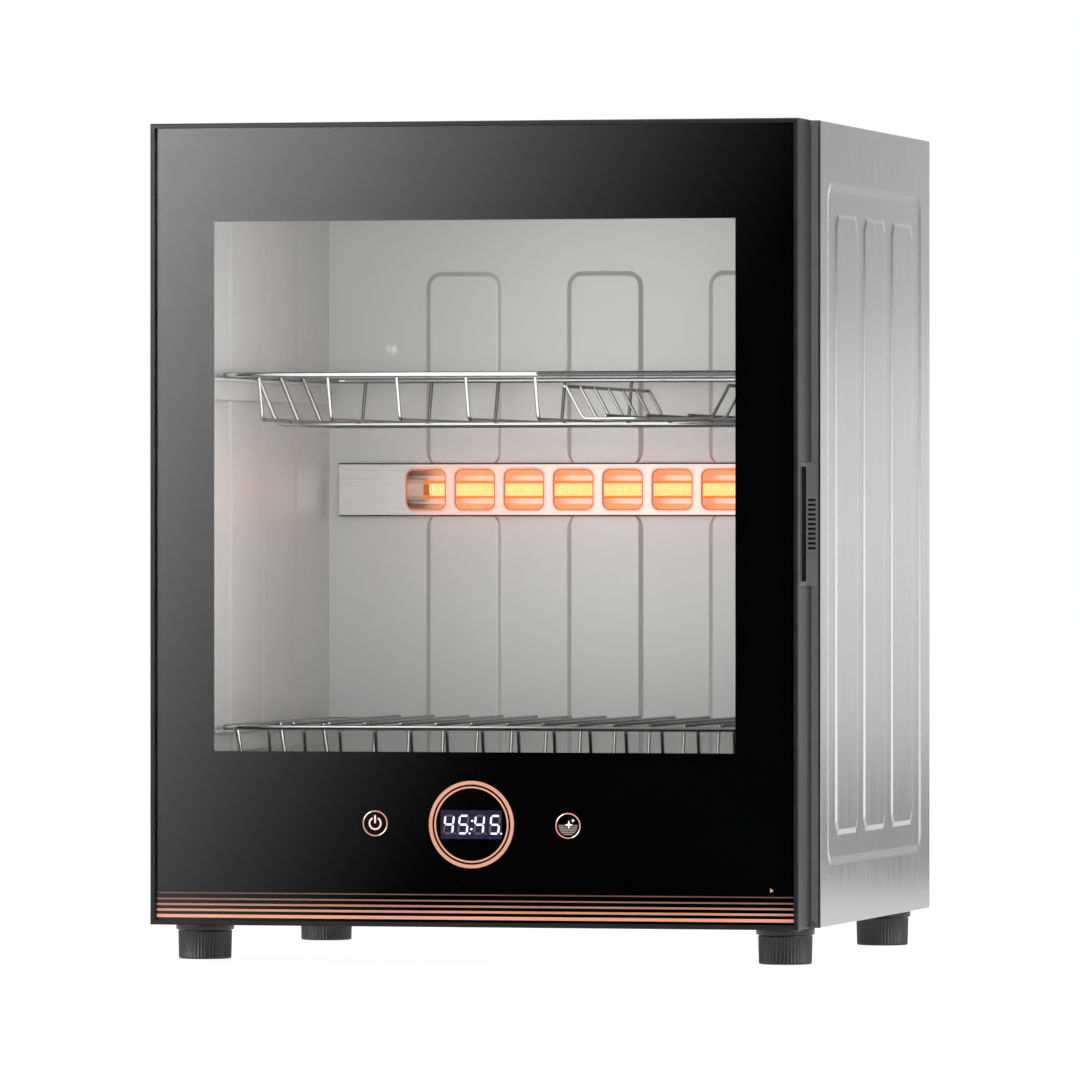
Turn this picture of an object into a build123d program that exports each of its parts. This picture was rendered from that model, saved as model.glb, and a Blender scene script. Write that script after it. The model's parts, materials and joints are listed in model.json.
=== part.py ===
"""A counter-top dish sterilizer cabinet, in millimetres.

The frame: +X to the viewer's right, +Y to the back, +Z up, with the origin under the cabinet's centre on the
surface that its feet stand on. Depths are counted back from the front of the door's glass, and heights from
the underside of the door, and back_y() and up_z() turn them into Y and Z.
"""

import os
from math import cos, pi, sin

from build123d import *

# Driving dimensions
foot_height = 24.0
door_width = 430.0
door_height = 520.0
door_depth = 38.0
door_gap = 2.5
cabinet_width = 441.0
cabinet_depth = 408.0
sheet = 0.8
cavity_width = 388.0
cavity_floor = 40.0
cavity_top = 498.0
cavity_back = 385.0

# The door's window and glass
glass_margin = 3.0
glass_thickness = 4.0
print_thickness = 0.3
window_width = 345.8
window_low = 112.9
window_high = 456.2

# The racks
rim_radius = 1.8
bar_radius = 1.5
wire_radius = 1.2
weld = 0.5
rack_half_width = 188.0
rack_front = 78.0
rack_back = 364.0
upper_rim_height = 358.0
upper_bed_height = 328.5
lower_rim_height = 126.8
lower_bed_height = 79.0
upper_wire_pitch = 46.5
lower_wire_pitch = 24.0
lower_wire_count = 14

# The heater on the back wall
heater_height = 283.8
guard_length = 372.0
guard_tall = 36.3
guard_window = 28.5
guard_pitch = 34.5
guard_window_count = 8
heater_shift = -4.0
tube_radius = 6.0
tube_length = 256.0

# The hinge, whose axis is vertical at the door's left
hinge_inset = 9.0
pin_radius = 3.0
pin_clearance = 0.05
bracket_thickness = 3.0

# The finger pull on the door's right
pull_height = 260.0
pull_tall = 74.0
pull_front = 9.0
pull_back = 25.0
pull_reach = 16.0
pull_flare = 4.5
pull_slots = 11
pull_slot_pitch = 3.1

# Values worked out from these
half_width = cabinet_width / 2
door_half = door_width / 2
cavity_half = cavity_width / 2
body_front = door_depth + door_gap
frame_depth = 5.5
liner_front = body_front + frame_depth
bevel_deep = 3.0
panel_front = body_front + bevel_deep
inner_panel_depth = door_depth - sheet


def back_y(depth):
    """Y of a point that lies depth behind the front of the door's glass."""
    return depth - cabinet_depth / 2


def up_z(height):
    """Z of a point that lies height above the underside of the door."""
    return height + foot_height


def front_plane(depth):
    """A plane facing the viewer, its X to the right and its Y up from the door's underside."""
    return Plane(origin=(0, back_y(depth), up_z(0)), x_dir=(1, 0, 0), z_dir=(0, -1, 0))


def level_plane(height):
    """A level plane at a height, its X to the right and its Y to the back from the glass's front."""
    return Plane(origin=(0, back_y(0), up_z(height)), x_dir=(1, 0, 0), z_dir=(0, 0, 1))


def side_plane(x):
    """A plane facing right, its X to the back from the glass's front and its Y up."""
    return Plane(origin=(x, back_y(0), up_z(0)), x_dir=(0, 1, 0), z_dir=(1, 0, 0))


def block(x_span, depth_span, height_span, mode=Mode.ADD):
    """Add a box, or cut one, between two values along each direction."""
    centre = [sum(span) / 2 for span in (x_span, depth_span, height_span)]
    size = [span[1] - span[0] for span in (x_span, depth_span, height_span)]
    with Locations((centre[0], back_y(centre[1]), up_z(centre[2]))):
        Box(*size, mode=mode)


def finish(name, part):
    """Label a finished piece and write it to its STEP file."""
    part.label = name
    export_step(part, f"parts/{name}.step")


os.makedirs("parts", exist_ok=True)

# ---------------------------------------------------------------- outer shell

panel_thickness = 1.5
top_thickness = 1.2
base_thickness = 1.2
back_thickness = 1.0
field_depth = 0.8
field_bevel = 6.0
rib_bevel = 3.0
field_front = 66.0
field_back = 378.0
field_margin = 38.5
field_corner = 14.0
rib_count = 3
rib_pitch = 92.0
rib_width = 72.0
rib_margin = 58.5
rib_corner = 7.0


def side_panel(side):
    """A pressed side panel: a rounded sunken field with three long raised ribs in it."""
    outer = side * half_width
    facing = side_plane(outer)
    length = field_back - field_front
    tall = door_height - 2 * field_margin
    centre = ((field_front + field_back) / 2, door_height / 2)
    sunk = facing.offset(-side * field_depth)
    with BuildPart() as panel:
        block(sorted((outer, outer - side * panel_thickness)), (panel_front, cabinet_depth), (0, door_height))
        with BuildSketch(facing):
            with Locations(centre):
                RectangleRounded(length, tall, field_corner)
        with BuildSketch(sunk):
            with Locations(centre):
                RectangleRounded(length - 2 * field_bevel, tall - 2 * field_bevel, field_corner - field_bevel)
        loft(mode=Mode.SUBTRACT)
        for index in range(rib_count):
            place = (centre[0] + (index - (rib_count - 1) / 2) * rib_pitch, centre[1])
            rib_tall = door_height - 2 * rib_margin
            with BuildSketch(sunk) as rib_foot:
                with Locations(place):
                    Rectangle(rib_width, rib_tall)
                chamfer(rib_foot.vertices(), rib_corner)
            with BuildSketch(facing) as rib_crest:
                with Locations(place):
                    Rectangle(rib_width - 2 * rib_bevel, rib_tall - 2 * rib_bevel)
                chamfer(rib_crest.vertices(), rib_corner - 1)
            loft()
    return panel.part


finish("side_panel_right", side_panel(1))
finish("side_panel_left", side_panel(-1))

inside_half = half_width - panel_thickness
back_panel_depth = cabinet_depth - 5.0

with BuildPart() as top_panel:
    block((-inside_half, inside_half), (panel_front, cabinet_depth), (door_height - top_thickness, door_height))
finish("top_panel", top_panel.part)

slot_length = 44.0
slot_width = 3.0
screw_sides = 6
foot_half = 194.0
foot_depths = (59.5, 377.0)
foot_places = [(side * foot_half, depth) for side in (-1, 1) for depth in foot_depths]
foot_screw_radius = 2.0

with BuildPart() as base_plate:
    block((-inside_half, inside_half), (panel_front, cabinet_depth), (0, base_thickness))
    with BuildSketch(level_plane(base_thickness)):
        with Locations((0, 240)):
            with GridLocations(55, 12, 4, 2):
                Rectangle(slot_length, slot_width)
        with Locations(foot_places):
            RegularPolygon(foot_screw_radius + 0.3, screw_sides)
    extrude(amount=-2 * base_thickness, mode=Mode.SUBTRACT)
finish("base_plate", base_plate.part)

shank_radius = 1.8
gland_place = (-150.0, 26.0)
gland_radius = 8.0
gland_sides = 12
screw_heights = (14.0, 260.0, 506.0)
screw_half = inside_half - 9
back_screw_places = [(side * screw_half, height) for side in (-1, 1) for height in screw_heights]

with BuildPart() as back_panel:
    with BuildSketch(front_plane(back_panel_depth)):
        with Locations((0, door_height / 2)):
            Rectangle(2 * inside_half, door_height - 4)
        with Locations((0, 30), (0, 470)):
            with GridLocations(60, 10, 4, 2):
                Rectangle(slot_length + 4, slot_width, mode=Mode.SUBTRACT)
        with Locations(gland_place):
            RegularPolygon(gland_radius, gland_sides, mode=Mode.SUBTRACT)
        with Locations(back_screw_places):
            RegularPolygon(shank_radius + 0.2, screw_sides, mode=Mode.SUBTRACT)
    extrude(amount=back_thickness)
    with BuildSketch(front_plane(back_panel_depth)) as field_foot:
        with Locations((0, 250)):
            Rectangle(330, 330)
        chamfer(field_foot.vertices(), 24)
    with BuildSketch(front_plane(back_panel_depth + 1.6)) as field_crest:
        with Locations((0, 250)):
            Rectangle(322, 322)
        chamfer(field_crest.vertices(), 22)
    loft()
finish("back_panel", back_panel.part)

with BuildPart() as cord_gland:
    with BuildSketch(front_plane(back_panel_depth - 4.5)):
        with Locations(gland_place):
            RegularPolygon(gland_radius - 0.2, gland_sides)
    extrude(amount=-4.5)
    with BuildSketch(front_plane(back_panel_depth)):
        with Locations(gland_place):
            RegularPolygon(11, 6)
    extrude(amount=-4)
    with BuildSketch(front_plane(back_panel_depth - 5)):
        with Locations(gland_place):
            RegularPolygon(3.6, gland_sides)
    extrude(amount=-12, mode=Mode.SUBTRACT)
finish("cord_gland", cord_gland.part)

screw_head_radius = 3.8
screw_head_height = 1.8


def cap_screw(place, depth, length):
    """A screw whose low head stands back from a front plane at a place, its shank running forward."""
    with BuildPart() as screw:
        with BuildSketch(front_plane(depth)):
            with Locations(place):
                RegularPolygon(screw_head_radius, screw_sides)
        extrude(amount=-screw_head_height)
        with BuildSketch(front_plane(depth)):
            with Locations(place):
                RegularPolygon(shank_radius, screw_sides)
        extrude(amount=length)
    return screw.part


finish("back_screws", Compound(children=[cap_screw(place, back_panel_depth, 6) for place in back_screw_places]))

# ------------------------------------------------------- front frame and liner

bevel_out = half_width - door_half
tongue_left = -door_half + hinge_inset - 8
tongue_right = tongue_left + 16
hinge_x = -door_half + hinge_inset
hinge_depth = door_depth - hinge_inset
lower_tongue = (base_thickness + 0.3, base_thickness + 0.3 + bracket_thickness)
upper_tongue_top = door_height - top_thickness - 0.3
upper_tongue = (upper_tongue_top - bracket_thickness, upper_tongue_top)

outer_corners = [(-half_width, 0), (half_width, 0), (half_width, door_height), (-half_width, door_height)]
inner_corners = [
    (-cavity_half, cavity_floor),
    (cavity_half, cavity_floor),
    (cavity_half, cavity_top),
    (-cavity_half, cavity_top),
]


def frame_member(index):
    """One of the front frame's four mitred members, bevelled on its outer front edge."""
    following = (index + 1) % 4
    with BuildPart() as member:
        with BuildSketch(front_plane(body_front)):
            with Locations((0, door_height / 2)):
                Rectangle(cabinet_width - 2 * bevel_out, door_height - 2 * bevel_out)
        with BuildSketch(front_plane(panel_front)):
            with Locations((0, door_height / 2)):
                Rectangle(cabinet_width, door_height)
        loft()
        block((-inside_half, inside_half), (panel_front, liner_front), (base_thickness, door_height - top_thickness))
        with BuildSketch(front_plane(body_front)):
            Polygon(
                outer_corners[index],
                outer_corners[following],
                inner_corners[following],
                inner_corners[index],
                align=None,
            )
        extrude(amount=-frame_depth, mode=Mode.INTERSECT)
        for tongue in (lower_tongue, upper_tongue):
            spread = (tongue[0] - 0.3, tongue[1] + 0.3)
            block((tongue_left - 0.3, tongue_right + 0.3), (body_front - 1, liner_front + 1), spread, Mode.SUBTRACT)
    return member.part


finish("front_frame", Compound(children=[frame_member(index) for index in range(4)]))

wall_rib_depths = (126.0, 211.0, 297.0)
wall_rib_width = 17.0
wall_rib_rise = 1.6
back_rib_width = 54.0
back_rib_pitch = 98.8
back_rib_top = 433.0
back_rib_tall = back_rib_top - cavity_floor - 12


def liner_wall(side):
    """A side wall of the cavity with three pressed ribs standing into the cavity."""
    inner = side * cavity_half
    with BuildPart() as wall:
        block(sorted((inner, inner + side * sheet)), (liner_front, cavity_back), (cavity_floor, cavity_top))
        for depth in wall_rib_depths:
            with BuildSketch(side_plane(inner)):
                with Locations((depth, (cavity_floor + cavity_top) / 2)):
                    Rectangle(wall_rib_width, cavity_top - cavity_floor - 24)
            with BuildSketch(side_plane(inner - side * wall_rib_rise)):
                with Locations((depth, (cavity_floor + cavity_top) / 2)):
                    Rectangle(wall_rib_width - 9, cavity_top - cavity_floor - 33)
            loft()
    return wall.part


finish("liner_left", liner_wall(-1))
finish("liner_right", liner_wall(1))

trough_half = 150.0
trough_tall = 27.0

with BuildPart() as liner_back:
    block(
        (-cavity_half - sheet, cavity_half + sheet),
        (cavity_back, cavity_back + sheet),
        (cavity_floor - sheet, cavity_top + sheet),
    )
    for index in (-1, 0, 1):
        middle = (index * back_rib_pitch, (cavity_floor + back_rib_top) / 2 + 6)
        with BuildSketch(front_plane(cavity_back)) as rib_foot:
            with Locations(middle):
                Rectangle(back_rib_width, back_rib_tall)
            chamfer(rib_foot.vertices(), 16)
        with BuildSketch(front_plane(cavity_back - wall_rib_rise)) as rib_crest:
            with Locations(middle):
                Rectangle(back_rib_width - 10, back_rib_tall - 10)
            chamfer(rib_crest.vertices(), 13)
        loft()
    block(
        (-trough_half, trough_half),
        (cavity_back - 5, cavity_back + 5),
        (heater_height - trough_tall / 2, heater_height + trough_tall / 2),
        Mode.SUBTRACT,
    )
finish("liner_back", liner_back.part)

with BuildPart() as liner_top:
    block((-cavity_half - sheet, cavity_half + sheet), (liner_front, cavity_back), (cavity_top, cavity_top + sheet))
finish("liner_top", liner_top.part)

with BuildPart() as liner_floor:
    block((-cavity_half - sheet, cavity_half + sheet), (liner_front, cavity_back), (cavity_floor - sheet, cavity_floor))
    with BuildSketch(level_plane(cavity_floor)) as floor_field:
        with Locations((0, 215)):
            Rectangle(340, 290)
        chamfer(floor_field.vertices(), 8)
    extrude(amount=1)
    chamfer(liner_floor.edges().group_by(Axis.Z)[-1], 0.8)
finish("liner_floor", liner_floor.part)

pad_gap = 0.6
pad_corner = 8.0
pad_outer = inside_half - pad_gap
pad_inner = cavity_half + sheet + pad_gap

for name, side in (("insulation_left", -1), ("insulation_right", 1)):
    with BuildPart() as pad:
        block(sorted((side * pad_inner, side * pad_outer)), (64, cavity_back - 12), (cavity_floor + 24, cavity_top - 24))
        chamfer(pad.edges().filter_by(Axis.X), pad_corner)
    finish(name, pad.part)

with BuildPart() as insulation_top:
    block(
        (-pad_inner, pad_inner),
        (64, cavity_back - 12),
        (cavity_top + sheet + pad_gap, door_height - top_thickness - pad_gap),
    )
    chamfer(insulation_top.edges().filter_by(Axis.Z), pad_corner)
finish("insulation_top", insulation_top.part)

rail_reach = 5.2
rail_front = 62.0
rail_back = 372.0
rail_thickness = 1.5
rail_clearance = 0.3


def rail_pair(rim_height):
    """Two angle rails on the cavity's walls, whose ledges carry a rack's side wires."""
    ledge = rim_height - rim_radius - rail_clearance
    rails = []
    for side in (-1, 1):
        wall = side * (cavity_half - wall_rib_rise)
        with BuildPart() as rail:
            with BuildSketch(front_plane(rail_front)):
                with BuildLine():
                    Polyline(
                        (wall, ledge - 14),
                        (wall, ledge),
                        (wall - side * rail_reach, ledge),
                        (wall - side * rail_reach, ledge - rail_thickness),
                        (wall - side * rail_thickness, ledge - rail_thickness),
                        (wall - side * rail_thickness, ledge - 14),
                        close=True,
                    )
                make_face()
            extrude(amount=rail_front - rail_back)
        rails.append(rail.part)
    return Compound(children=rails)


finish("upper_rails", rail_pair(upper_rim_height))
finish("lower_rails", rail_pair(lower_rim_height))

# -------------------------------------------------------------------- heater

guard_depth = cavity_back - 5.0
guard_flange = 3.2
guard_corner = 3.0


def cut_corner_square(side, corner):
    """The points of a square whose corners are cut off."""
    far = side / 2
    near = far - corner
    quarter = [(far, -near), (far, near)]
    points = []
    for _ in range(4):
        points += quarter
        quarter = [(-y, x) for x, y in quarter]
    return points



with BuildPart() as heater_guard:
    with BuildSketch(front_plane(guard_depth)):
        with Locations((0, heater_height)):
            Rectangle(guard_length, guard_tall)
        with Locations((heater_shift, heater_height)):
            with GridLocations(guard_pitch, 0, guard_window_count, 1):
                Polygon(*cut_corner_square(guard_window, guard_corner), mode=Mode.SUBTRACT)
    extrude(amount=-sheet)
    for edge in (-1, 1):
        middle = heater_height + edge * (guard_tall - sheet) / 2
        block(
            (-guard_length / 2, guard_length / 2),
            (guard_depth, guard_depth + guard_flange),
            (middle - sheet / 2, middle + sheet / 2),
        )
        block(
            sorted((edge * guard_length / 2, edge * (guard_length / 2 - sheet))),
            (guard_depth, cavity_back),
            (heater_height - guard_tall / 2, heater_height + guard_tall / 2),
        )
finish("heater_guard", heater_guard.part)

tube_depth = cavity_back + 4.5
tube_left = heater_shift - tube_length / 2
cap_length = 14.0
cap_radius = 8.0
cap_sides = 12


def crosswise(x, depth, height):
    """A plane across the heater's axis, facing right."""
    return Plane(origin=(x, back_y(depth), up_z(height)), x_dir=(0, 1, 0), z_dir=(1, 0, 0))


with BuildPart() as heater_tube:
    with BuildSketch(crosswise(tube_left, tube_depth, heater_height)):
        Circle(tube_radius)
        Circle(tube_radius - 1, mode=Mode.SUBTRACT)
    extrude(amount=tube_length)
finish("heater_tube", heater_tube.part)

coil_radius = 3.2
coil_sides = 10

with BuildPart() as heater_filament:
    with BuildSketch(crosswise(tube_left + 1, tube_depth, heater_height)):
        RegularPolygon(coil_radius, coil_sides)
    extrude(amount=tube_length - 2)
finish("heater_filament", heater_filament.part)

end_caps = []
for side in (-1, 1):
    with BuildPart() as cap:
        with BuildSketch(crosswise(heater_shift + side * (tube_length / 2 - 5), tube_depth, heater_height)):
            RegularPolygon(cap_radius, cap_sides)
            RegularPolygon(tube_radius + 0.1, cap_sides, major_radius=False, mode=Mode.SUBTRACT)
        extrude(amount=side * 5)
        with BuildSketch(crosswise(heater_shift + side * tube_length / 2, tube_depth, heater_height)):
            RegularPolygon(cap_radius, cap_sides)
        extrude(amount=side * (cap_length - 5))
    end_caps.append(cap.part)
finish("heater_end_caps", Compound(children=end_caps))

trough_back = back_panel_depth - 5.0
trough_mouth = cavity_back + sheet

with BuildPart() as heater_reflector:
    with BuildSketch(side_plane(-trough_half + 1)):
        with BuildLine():
            Polyline(
                (trough_mouth, heater_height + trough_tall / 2 + 6),
                (trough_mouth, heater_height + trough_tall / 2),
                (trough_back, heater_height + 9.5),
                (trough_back, heater_height - 9.5),
                (trough_mouth, heater_height - trough_tall / 2),
                (trough_mouth, heater_height - trough_tall / 2 - 6),
                (trough_mouth + 0.8, heater_height - trough_tall / 2 - 6),
                (trough_mouth + 0.8, heater_height - trough_tall / 2 - 0.6),
                (trough_back + 0.8, heater_height - 10.2),
                (trough_back + 0.8, heater_height + 10.2),
                (trough_mouth + 0.8, heater_height + trough_tall / 2 + 0.6),
                (trough_mouth + 0.8, heater_height + trough_tall / 2 + 6),
                close=True,
            )
        make_face()
    extrude(amount=2 * trough_half - 2)
finish("heater_reflector", heater_reflector.part)

# ------------------------------------------------- electrics under the cavity

board_height = 9.0

with BuildPart() as power_board:
    block((60, 170), (150, 240), (board_height, board_height + 1.6))
    block((70, 90), (160, 176), (board_height + 1.6, board_height + 17))
    block((98, 118), (160, 176), (board_height + 1.6, board_height + 17))
    block((128, 160), (165, 200), (board_height + 1.6, board_height + 24))
    with BuildSketch(level_plane(board_height + 1.6)):
        with Locations((78, 218), (92, 218)):
            RegularPolygon(5, 8)
    extrude(amount=16)
finish("power_board", power_board.part)

posts = []
for x in (64, 166):
    for depth in (154, 236):
        with BuildPart() as post:
            with BuildSketch(level_plane(base_thickness)):
                with Locations((x, depth)):
                    RegularPolygon(3.4, 6)
            extrude(amount=board_height - base_thickness)
        posts.append(post.part)
finish("board_posts", Compound(children=posts))

with BuildPart() as terminal_block:
    block((-150, -100), (350, 372), (base_thickness, 18))
    for x in (-140, -125, -110):
        block((x - 4, x + 4), (354, 368), (12, 19), Mode.SUBTRACT)
finish("terminal_block", terminal_block.part)

with BuildPart() as thermal_cutout:
    with BuildSketch(front_plane(cavity_back + sheet)):
        with Locations((90, 340)):
            Rectangle(34, 12)
    extrude(amount=-1)
    with BuildSketch(front_plane(cavity_back + sheet + 1)):
        with Locations((90, 340)):
            RegularPolygon(8, 12)
    extrude(amount=-9)
finish("thermal_cutout", thermal_cutout.part)

with BuildPart() as temperature_sensor:
    with BuildSketch(front_plane(cavity_back - 7)):
        with Locations((-150, 380)):
            RegularPolygon(2.5, 8)
    extrude(amount=-7)
    with BuildSketch(front_plane(cavity_back - 2)):
        with Locations((-150, 380)):
            RegularPolygon(5, 6)
    extrude(amount=-2)
finish("temperature_sensor", temperature_sensor.part)

catch_height = 330.0

with BuildPart() as catch_magnet:
    block((cavity_half + 5, cavity_half + 15), (liner_front, liner_front + 12), (catch_height - 18, catch_height + 18))
finish("catch_magnet", catch_magnet.part)

with BuildPart() as door_switch:
    block((cavity_half + 5, cavity_half + 15), (liner_front, liner_front + 9), (190, 216))
finish("door_switch", door_switch.part)

# ---------------------------------------------------------------------- feet

collar_radius = 19.0
collar_height = 5.5
cup_top_radius = 17.6
cup_radius = 17.2
flute_count = 16
flute_depth = 0.7


def fluted_outline(radius):
    """The outline of the cup's fluted side: its points alternate between crest and root."""
    radii = (radius, radius - flute_depth)
    steps = [pi * index / flute_count for index in range(2 * flute_count)]
    return [(radii[index % 2] * cos(step), radii[index % 2] * sin(step)) for index, step in enumerate(steps)]


def foot(x, depth):
    """A moulded foot: a collar under the base plate and a fluted, tapered cup, bored for its screw."""
    centre = Plane(origin=(x, back_y(depth), 0))
    shoulder = foot_height - collar_height
    with BuildPart() as cup:
        with BuildSketch(centre):
            Polygon(*fluted_outline(cup_radius), align=None)
        with BuildSketch(centre.offset(shoulder)):
            Polygon(*fluted_outline(cup_top_radius), align=None)
        loft(ruled=True)
        with BuildSketch(centre.offset(shoulder)):
            RegularPolygon(collar_radius, flute_count)
        extrude(amount=collar_height)
        with BuildSketch(centre.offset(-1)):
            RegularPolygon(4.5, screw_sides)
        extrude(amount=foot_height - 5, mode=Mode.SUBTRACT)
        with BuildSketch(centre):
            RegularPolygon(foot_screw_radius + 0.3, screw_sides)
        extrude(amount=foot_height, mode=Mode.SUBTRACT)
    return cup.part


foot_names = ("foot_front_left", "foot_rear_left", "foot_front_right", "foot_rear_right")
for name, (x, depth) in zip(foot_names, foot_places):
    finish(name, foot(x, depth))

foot_screws = []
for x, depth in foot_places:
    with BuildPart() as screw:
        with BuildSketch(Plane(origin=(x, back_y(depth), foot_height - 6))):
            RegularPolygon(4, screw_sides)
        extrude(amount=-2.4)
        with BuildSketch(Plane(origin=(x, back_y(depth), foot_height - 6))):
            RegularPolygon(foot_screw_radius, screw_sides)
        extrude(amount=12)
    foot_screws.append(screw.part)
finish("foot_screws", Compound(children=foot_screws))

# --------------------------------------------------------------------- hinge

leg_tall = 34.0
bush_sides = 8
pin_reach = 15.0


def hinge_bracket(tongue, upward):
    """A bracket whose tongue carries a pin into the door, with a leg behind the front frame."""
    low, high = tongue
    with BuildPart() as bracket:
        with BuildSketch(level_plane(low)):
            with Locations((hinge_x, hinge_depth)):
                RegularPolygon(8, bush_sides, major_radius=False)
            with Locations((hinge_x, (hinge_depth + liner_front) / 2)):
                Rectangle(16, liner_front - hinge_depth)
        extrude(amount=high - low)
        leg = (low, low + leg_tall) if upward else (high - leg_tall, high)
        block((tongue_left, tongue_right), (liner_front, liner_front + 2.5), leg)
        with BuildSketch(level_plane(high if upward else low)):
            with Locations((hinge_x, hinge_depth)):
                Circle(pin_radius)
        extrude(amount=pin_reach if upward else -pin_reach)
    return bracket.part


finish("lower_hinge_bracket", hinge_bracket(lower_tongue, True))
finish("upper_hinge_bracket", hinge_bracket(upper_tongue, False))

bush_radius = 5.0
bush_length = 15.5
flange_radius = 7.0
bush_clearance = 0.3


def hinge_bush(start, upward):
    """A flanged bush in the door's corner that turns on a bracket's pin."""
    direction = 1 if upward else -1
    with BuildPart() as bush:
        with BuildSketch(level_plane(start)):
            with Locations((hinge_x, hinge_depth)):
                RegularPolygon(flange_radius, bush_sides)
                Circle(pin_radius + pin_clearance, mode=Mode.SUBTRACT)
        extrude(amount=1.2 * direction)
        with BuildSketch(level_plane(start)):
            with Locations((hinge_x, hinge_depth)):
                RegularPolygon(bush_radius, bush_sides)
                Circle(pin_radius + pin_clearance, mode=Mode.SUBTRACT)
        extrude(amount=bush_length * direction)
    return bush.part


lower_bush_start = lower_tongue[1] + bush_clearance
upper_bush_start = upper_tongue[0] - bush_clearance
finish("hinge_bushes", Compound(children=[hinge_bush(lower_bush_start, True), hinge_bush(upper_bush_start, False)]))

# ---------------------------------------------------------------------- door

web_front = glass_thickness + print_thickness
web_back = web_front + 2.7
stile = 20.0
tunnel_wall = 8.0
window_middle = (window_low + window_high) / 2
window_tall = window_high - window_low
opening_width = window_width + 20.0
opening_tall = window_tall + 8.0
ledge = 5.0
boss_radius = 4.0
inner_screw_places = [(x, height) for x in (-186, 190) for height in (17, 495)]
inner_glass_front = 33.0
control_low = 14.0
control_high = 102.0
pull_pocket = 3.0
panel_margin = 6.5
notch_reach = 11.0
glass_width = door_width - 2 * glass_margin - 0.4
glass_height = door_height - 2 * glass_margin - 0.4

with BuildPart() as door_frame:
    with BuildSketch(front_plane(0)):
        with Locations((0, door_height / 2)):
            Rectangle(door_width, door_height)
    extrude(amount=-door_depth)
    hinge_edge = door_frame.edges().filter_by(Axis.Z).group_by(Axis.Y)[-1].sort_by(Axis.X)[0]
    fillet(hinge_edge, hinge_inset)
    chamfer(door_frame.edges().group_by(Axis.Y)[0], 0.8)
    # the seat for the glass
    block(
        (-door_half + glass_margin, door_half - glass_margin),
        (-1, web_front),
        (glass_margin, door_height - glass_margin),
        Mode.SUBTRACT,
    )
    # the hollow behind the front web, open to the back
    with BuildSketch(front_plane(web_back)):
        with Locations(((stile - 3) / 2, door_height / 2)):
            Rectangle(door_width - stile - 3, door_height - 6)
        with Locations((0, window_middle)):
            Rectangle(opening_width + 2 * tunnel_wall, opening_tall + 2 * tunnel_wall, mode=Mode.SUBTRACT)
        with Locations(inner_screw_places):
            Rectangle(2 * boss_radius, 2 * boss_radius, mode=Mode.SUBTRACT)
    extrude(amount=-door_depth, mode=Mode.SUBTRACT)
    with BuildSketch(front_plane(inner_panel_depth)):
        with Locations(inner_screw_places):
            RegularPolygon(shank_radius + 0.2, screw_sides)
    extrude(amount=6, mode=Mode.SUBTRACT)
    # the window, with a step at its back for the inner glass
    for depth, past in ((-1, 0), (inner_glass_front, ledge)):
        block(
            (-opening_width / 2 - past, opening_width / 2 + past),
            (depth, door_depth + 1),
            (window_middle - opening_tall / 2 - past, window_middle + opening_tall / 2 + past),
            Mode.SUBTRACT,
        )
    # the opening in the web for the touch board
    block((-135, 135), (web_front - 1, web_back + 1), (control_low + 8, control_high - 8), Mode.SUBTRACT)
    # the step round the back for the inner panel
    block(
        (hinge_x + 1, door_half - 1.5),
        (inner_panel_depth, door_depth + 1),
        (panel_margin - 0.3, door_height - panel_margin + 0.3),
        Mode.SUBTRACT,
    )
    # the opening in the right side for the finger pull
    block(
        (door_half - 4, door_half + 1),
        (pull_front - 2, door_depth + 1),
        (pull_height - pull_tall / 2 - pull_pocket, pull_height + pull_tall / 2 + pull_pocket),
        Mode.SUBTRACT,
    )
    # the corners that clear the hinge brackets, and the bores for their bushes
    for low, high in ((-1, lower_tongue[1] + bush_clearance), (upper_tongue[0] - bush_clearance, door_height + 1)):
        notch = (hinge_depth - notch_reach, door_depth + 1)
        block((-door_half - 1, hinge_x + 9), notch, (low, high), Mode.SUBTRACT)
    for start, direction in ((lower_bush_start, 1), (upper_bush_start, -1)):
        with BuildSketch(level_plane(start)):
            with Locations((hinge_x, hinge_depth)):
                RegularPolygon(flange_radius, bush_sides)
        extrude(amount=1.2 * direction, mode=Mode.SUBTRACT)
        with BuildSketch(level_plane(start)):
            with Locations((hinge_x, hinge_depth)):
                RegularPolygon(bush_radius, bush_sides)
        extrude(amount=(bush_length + 1) * direction, mode=Mode.SUBTRACT)
finish("door_frame", door_frame.part)

with BuildPart() as door_glass:
    with BuildSketch(front_plane(0)):
        with Locations((0, door_height / 2)):
            Rectangle(glass_width, glass_height)
    extrude(amount=-glass_thickness)
finish("door_glass", door_glass.part)

with BuildPart() as glass_print:
    with BuildSketch(front_plane(glass_thickness)):
        with Locations((0, door_height / 2)):
            Rectangle(glass_width, glass_height)
        with Locations((0, window_middle)):
            Rectangle(window_width, window_tall, mode=Mode.SUBTRACT)
    extrude(amount=-print_thickness)
finish("glass_print", glass_print.part)

with BuildPart() as inner_glass:
    with BuildSketch(front_plane(inner_glass_front)):
        with Locations((0, window_middle)):
            Rectangle(opening_width + 2 * ledge - 0.6, opening_tall + 2 * ledge - 0.6)
    extrude(amount=inner_glass_front - inner_panel_depth)
finish("inner_glass", inner_glass.part)

inner_panel_left = hinge_x + 1.3
inner_panel_right = door_half - 1.8

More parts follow.
